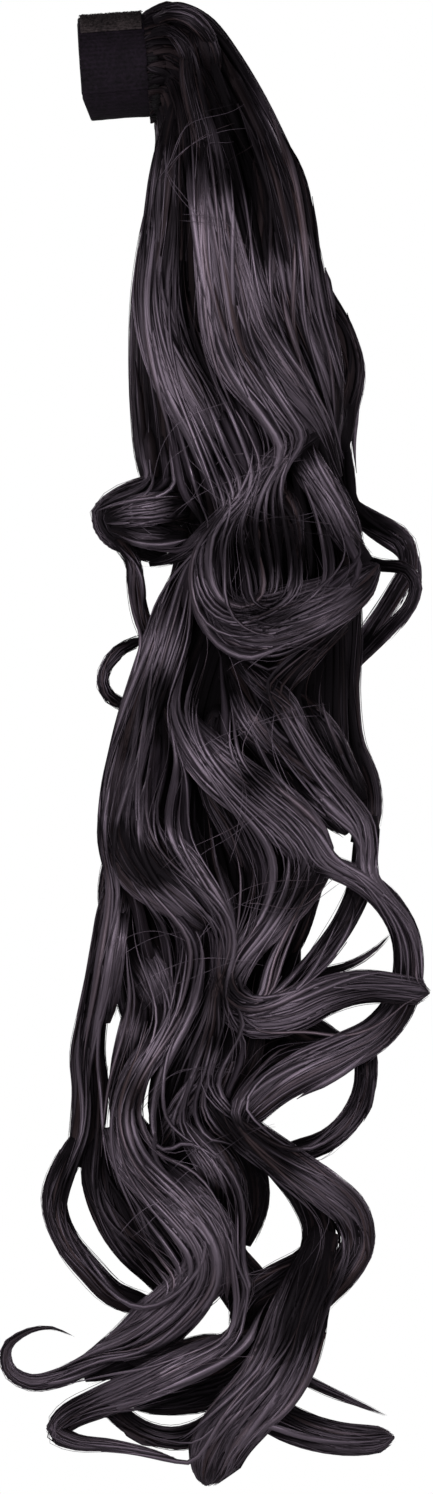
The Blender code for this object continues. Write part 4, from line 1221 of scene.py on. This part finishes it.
# %% The pile
pile_tape = rolled_cloth("pile_tape", PILE_RADIUS, PILE_WALL, PILE_START, PILE_STOP, PILE_FROM, PILE_LENGTH,
                         PILE)
chance = np.random.default_rng(5)
FIBRES = 2600
foot = np.stack([chance.uniform(PILE_FROM, PILE_FROM + PILE_LENGTH, FIBRES),
                 chance.uniform(PILE_START, PILE_STOP, FIBRES)], axis=1)
share = np.linspace(0.0, 1.0, 4)[None, :]
lean_x = chance.normal(0, 0.5, (FIBRES, 1)) * share + chance.normal(0, 0.25, (FIBRES, 1)) * np.sin(6 * share)
lean_turn = chance.normal(0, 0.03, (FIBRES, 1)) * share
height = 21.2 + chance.uniform(0.15, 0.75, (FIBRES, 1)) * np.sin(2.2 * share)
turn = foot[:, 1:] + lean_turn
flat = np.stack([foot[:, :1] + lean_x, -height * np.cos(turn), height * np.sin(turn)], axis=-1)
flat[..., 2] += sag(flat[..., 2])
tilt = np.array(LEVEL.inverted().to_3x3())
fibres = HairMesh()
add_tubes(fibres, flat @ tilt.T, np.broadcast_to([0.0, -0.3, 1.0], flat.shape) + 0.0 * flat,
          np.full((FIBRES, 4), 0.13), np.full((FIBRES, 4), 0.13), 3, chance.uniform(0, 900, FIBRES))
fuzz = fibres.made("pile_fibres", PILE)
fuzz.data.uv_layers["strands"].name = "UVMap"
finished(pile_tape, "pile_strip")
finished(fuzz, None)
print("pile:", tally["pile_tape"], "and", tally["pile_fibres"], "triangles")

# %% [markdown]
# A strip of cloth was flat once. Its flat size is its length along the tube and the way round at the middle
# of its wall; it is not stated here.

# %% The flat size of a strip


# %% [markdown]
# The hair is sewn to the far edge of the tube as a weft: a cord of hair roots bound with thread. The cord
# is a torus, flattened a little. The binding thread is one closed tube that winds round it, and short thick
# tufts come out over the cord and run into the fall, which hides the seam as the real roots do.

# %% The sewn edge
deselect()
bpy.ops.mesh.primitive_torus_add(major_radius=WEFT_RADIUS * MM, minor_radius=WEFT_HALF_THICK * MM,
                                 major_segments=96, minor_segments=14)
seam = bpy.context.object
seam.name = "sewn_edge"
seam.data.name = "sewn_edge"
seam.data.transform(UPRIGHT @ Matrix.Translation((0, 0, WEFT_X * MM)) @ Matrix.Diagonal((1, 1, 1.6, 1)))
for vertex in seam.data.vertices:
    level = LEVEL @ vertex.co
    vertex.co = LEVEL.inverted() @ (level + Vector((0.0, 0.0, sag(level.z, MM))))
bpy.ops.object.shade_smooth()
seam.data.materials.append(THREAD)
TURNS, STEPS = 54, 648
wind = np.linspace(0.0, 2 * np.pi, STEPS + 1)
ring_out = WEFT_RADIUS + 1.6 * np.cos(TURNS * wind)
thread_x = WEFT_X + 2.35 * np.sin(TURNS * wind)
thread = np.stack([thread_x, -ring_out * np.cos(wind), ring_out * np.sin(wind)], axis=-1)
thread[..., 2] += sag(thread[..., 2])
binding = HairMesh()
add_tubes(binding, (thread @ tilt.T)[None], np.broadcast_to([1.0, 0.2, 0.1], (1, STEPS + 1, 3)) + 0.0,
          np.full((1, STEPS + 1), 0.6), np.full((1, STEPS + 1), 0.6), 6, np.array([3.0]))
bound = binding.made("binding_thread", THREAD)
bound.data.uv_layers["strands"].name = "UVMap"
deselect()
bound.select_set(True)
seam.select_set(True)
bpy.context.view_layer.objects.active = seam
bpy.ops.object.join()
finished(seam, "weft_edge")
print("sewn edge:", tally["sewn_edge"], "triangles")

# %% The roots that come over the sewn edge
ROOTS = 110
chance = np.random.default_rng(8)
share = np.linspace(0.0, 1.0, 18)[None, :]
turn = 2 * np.pi * (np.arange(ROOTS)[:, None] + chance.uniform(-0.6, 0.6, (ROOTS, 1))) / ROOTS
turn = turn + 0.22 * chance.normal(0, 1, (ROOTS, 1)) * share
reach = 0.01 + share * chance.uniform(0.12, 0.34, (ROOTS, 1))
surface, outward = on_bundle(fall, reach, turn, chance.uniform(0.2, 1.0, (ROOTS, 1)) + 0.0 * share)
level = surface @ np.array(LEVEL.to_3x3()).T
radius = chance.uniform(19.6, 20.8, (ROOTS, 1)) / np.hypot(level[..., 1], level[..., 2])
over_ring = np.stack([np.full(level.shape[:2], 25.0), radius * level[..., 1], radius * level[..., 2]],
                     axis=-1)
over_ring[..., 2] += sag(over_ring[..., 2])
blend = smoothstep(share * chance.uniform(2.5, 5.0, (ROOTS, 1)))[..., None]
lift = chance.uniform(0.2, 1.3, (ROOTS, 1)) * np.sin(np.pi * np.clip(share * 3, 0, 1))
lines = (over_ring @ tilt.T) * (1 - blend) + surface * blend + outward * lift[..., None]
roots = HairMesh()
taper = np.clip(share * 8, 0.4, 1.0) * np.clip((1.0 - share) * 2.2, 0.1, 1.0)
wide = chance.uniform(1.4, 3.6, (ROOTS, 1)) * taper
thick = 0.8 * taper + 0 * turn[:, :1]
# The roots carry painted shade where they come out over the sewn edge, fading along their length.
add_tubes(roots, lines, outward, wide, thick, 6, chance.uniform(0, 900, ROOTS), 0.35 * (1 - share))
finished(roots.made("root_tufts", HAIR), None)
print("roots:", tally["root_tufts"], "triangles; all:", sum(tally.values()))

# %% [markdown]
# The room is a pale floor and an even white surround, as in a product photograph, with a soft key light in
# front on the left, a weaker one on the right, one at each side and two behind for the rims. Black hair in
# a white room mirrors the room and goes grey, so the surround is white to the camera but lights the hair
# only weakly: the Light Path node tells the two apart. The camera stands far off with a long lens, so that
# near locks don't look too large.

# %% Floor and surround
deselect()
bpy.ops.mesh.primitive_plane_add(size=1.6, location=(0, 0, -0.60))
floor = bpy.context.object
floor.name = "floor"
paper = Finish("pale_floor")
paper.give(Base_Color=(0.85, 0.85, 0.85, 1.0), Roughness=0.8)
floor.data.materials.append(paper.material)

ROOM_LIGHT = 0.14
world = bpy.data.worlds.new("white_room")
bpy.context.scene.world = world
world.use_nodes = True
surround = world.node_tree.nodes["Background"]
seen = world.node_tree.nodes.new("ShaderNodeLightPath")
strength = world.node_tree.nodes.new("ShaderNodeMapRange")
strength.inputs["To Min"].default_value = ROOM_LIGHT
strength.inputs["To Max"].default_value = 1.0
world.node_tree.links.new(seen.outputs["Is Camera Ray"], strength.inputs["Value"])
world.node_tree.links.new(strength.outputs["Result"], surround.inputs["Strength"])
surround.inputs["Color"].default_value = (1.0, 1.0, 1.0, 1.0)
print("room:", floor.name, "and", world.name)

# %% Lights


def soft_light(name, place, aim, size, power):
    light = bpy.data.lights.new(name, "AREA")
    light.shape = "RECTANGLE"
    light.size, light.size_y = size
    light.energy = power
    thing = bpy.data.objects.new(name, light)
    bpy.context.scene.collection.objects.link(thing)
    thing.location = place
    thing.rotation_euler = (Vector(aim) - Vector(place)).to_track_quat("-Z", "Y").to_euler()
    return thing


soft_light("key", (-0.50, -2.0, 0.10), (0.05, 0, -0.25), (0.7, 0.9), 22.0)
soft_light("fill", (0.62, -1.9, -0.25), (0.05, 0, -0.25), (0.6, 0.9), 8.0)
soft_light("side_right", (1.3, -0.9, 0.0), (0.05, 0, -0.22), (0.5, 1.1), 9.0)
soft_light("side_left", (-1.3, -0.9, -0.1), (0.05, 0, -0.25), (0.5, 1.1), 6.0)
soft_light("rim_left", (-0.8, 1.2, 0.3), (0.05, 0, -0.25), (0.5, 0.9), 8.0)
soft_light("rim_right", (0.9, 1.3, 0.1), (0.05, 0, -0.25), (0.5, 0.9), 8.0)
print("lights:", [light.name for light in bpy.data.lights])

# %% Camera
bpy.context.scene.view_settings.view_transform = "Standard"
IMAGE_WIDE, IMAGE_HIGH = 433, 1494
MM_PER_PIXEL = 0.375
MOUTH_PIXEL = (80.0, 66.0)
view_high = IMAGE_HIGH * MM_PER_PIXEL * MM
centre_x = (IMAGE_WIDE / 2 - MOUTH_PIXEL[0]) * MM_PER_PIXEL * MM
centre_z = -(IMAGE_HIGH / 2 - MOUTH_PIXEL[1]) * MM_PER_PIXEL * MM
lens = bpy.data.cameras.new("camera")
lens.lens = 260.0
lens.sensor_width = 36.0
lens.clip_end = 100.0
camera = bpy.data.objects.new("camera", lens)
bpy.context.scene.collection.objects.link(camera)
camera.location = (centre_x, -view_high * lens.lens / lens.sensor_width, centre_z)
camera.rotation_euler = (math.pi / 2, 0, 0)
bpy.context.scene.camera = camera
print("camera at", [round(v, 3) for v in camera.location])
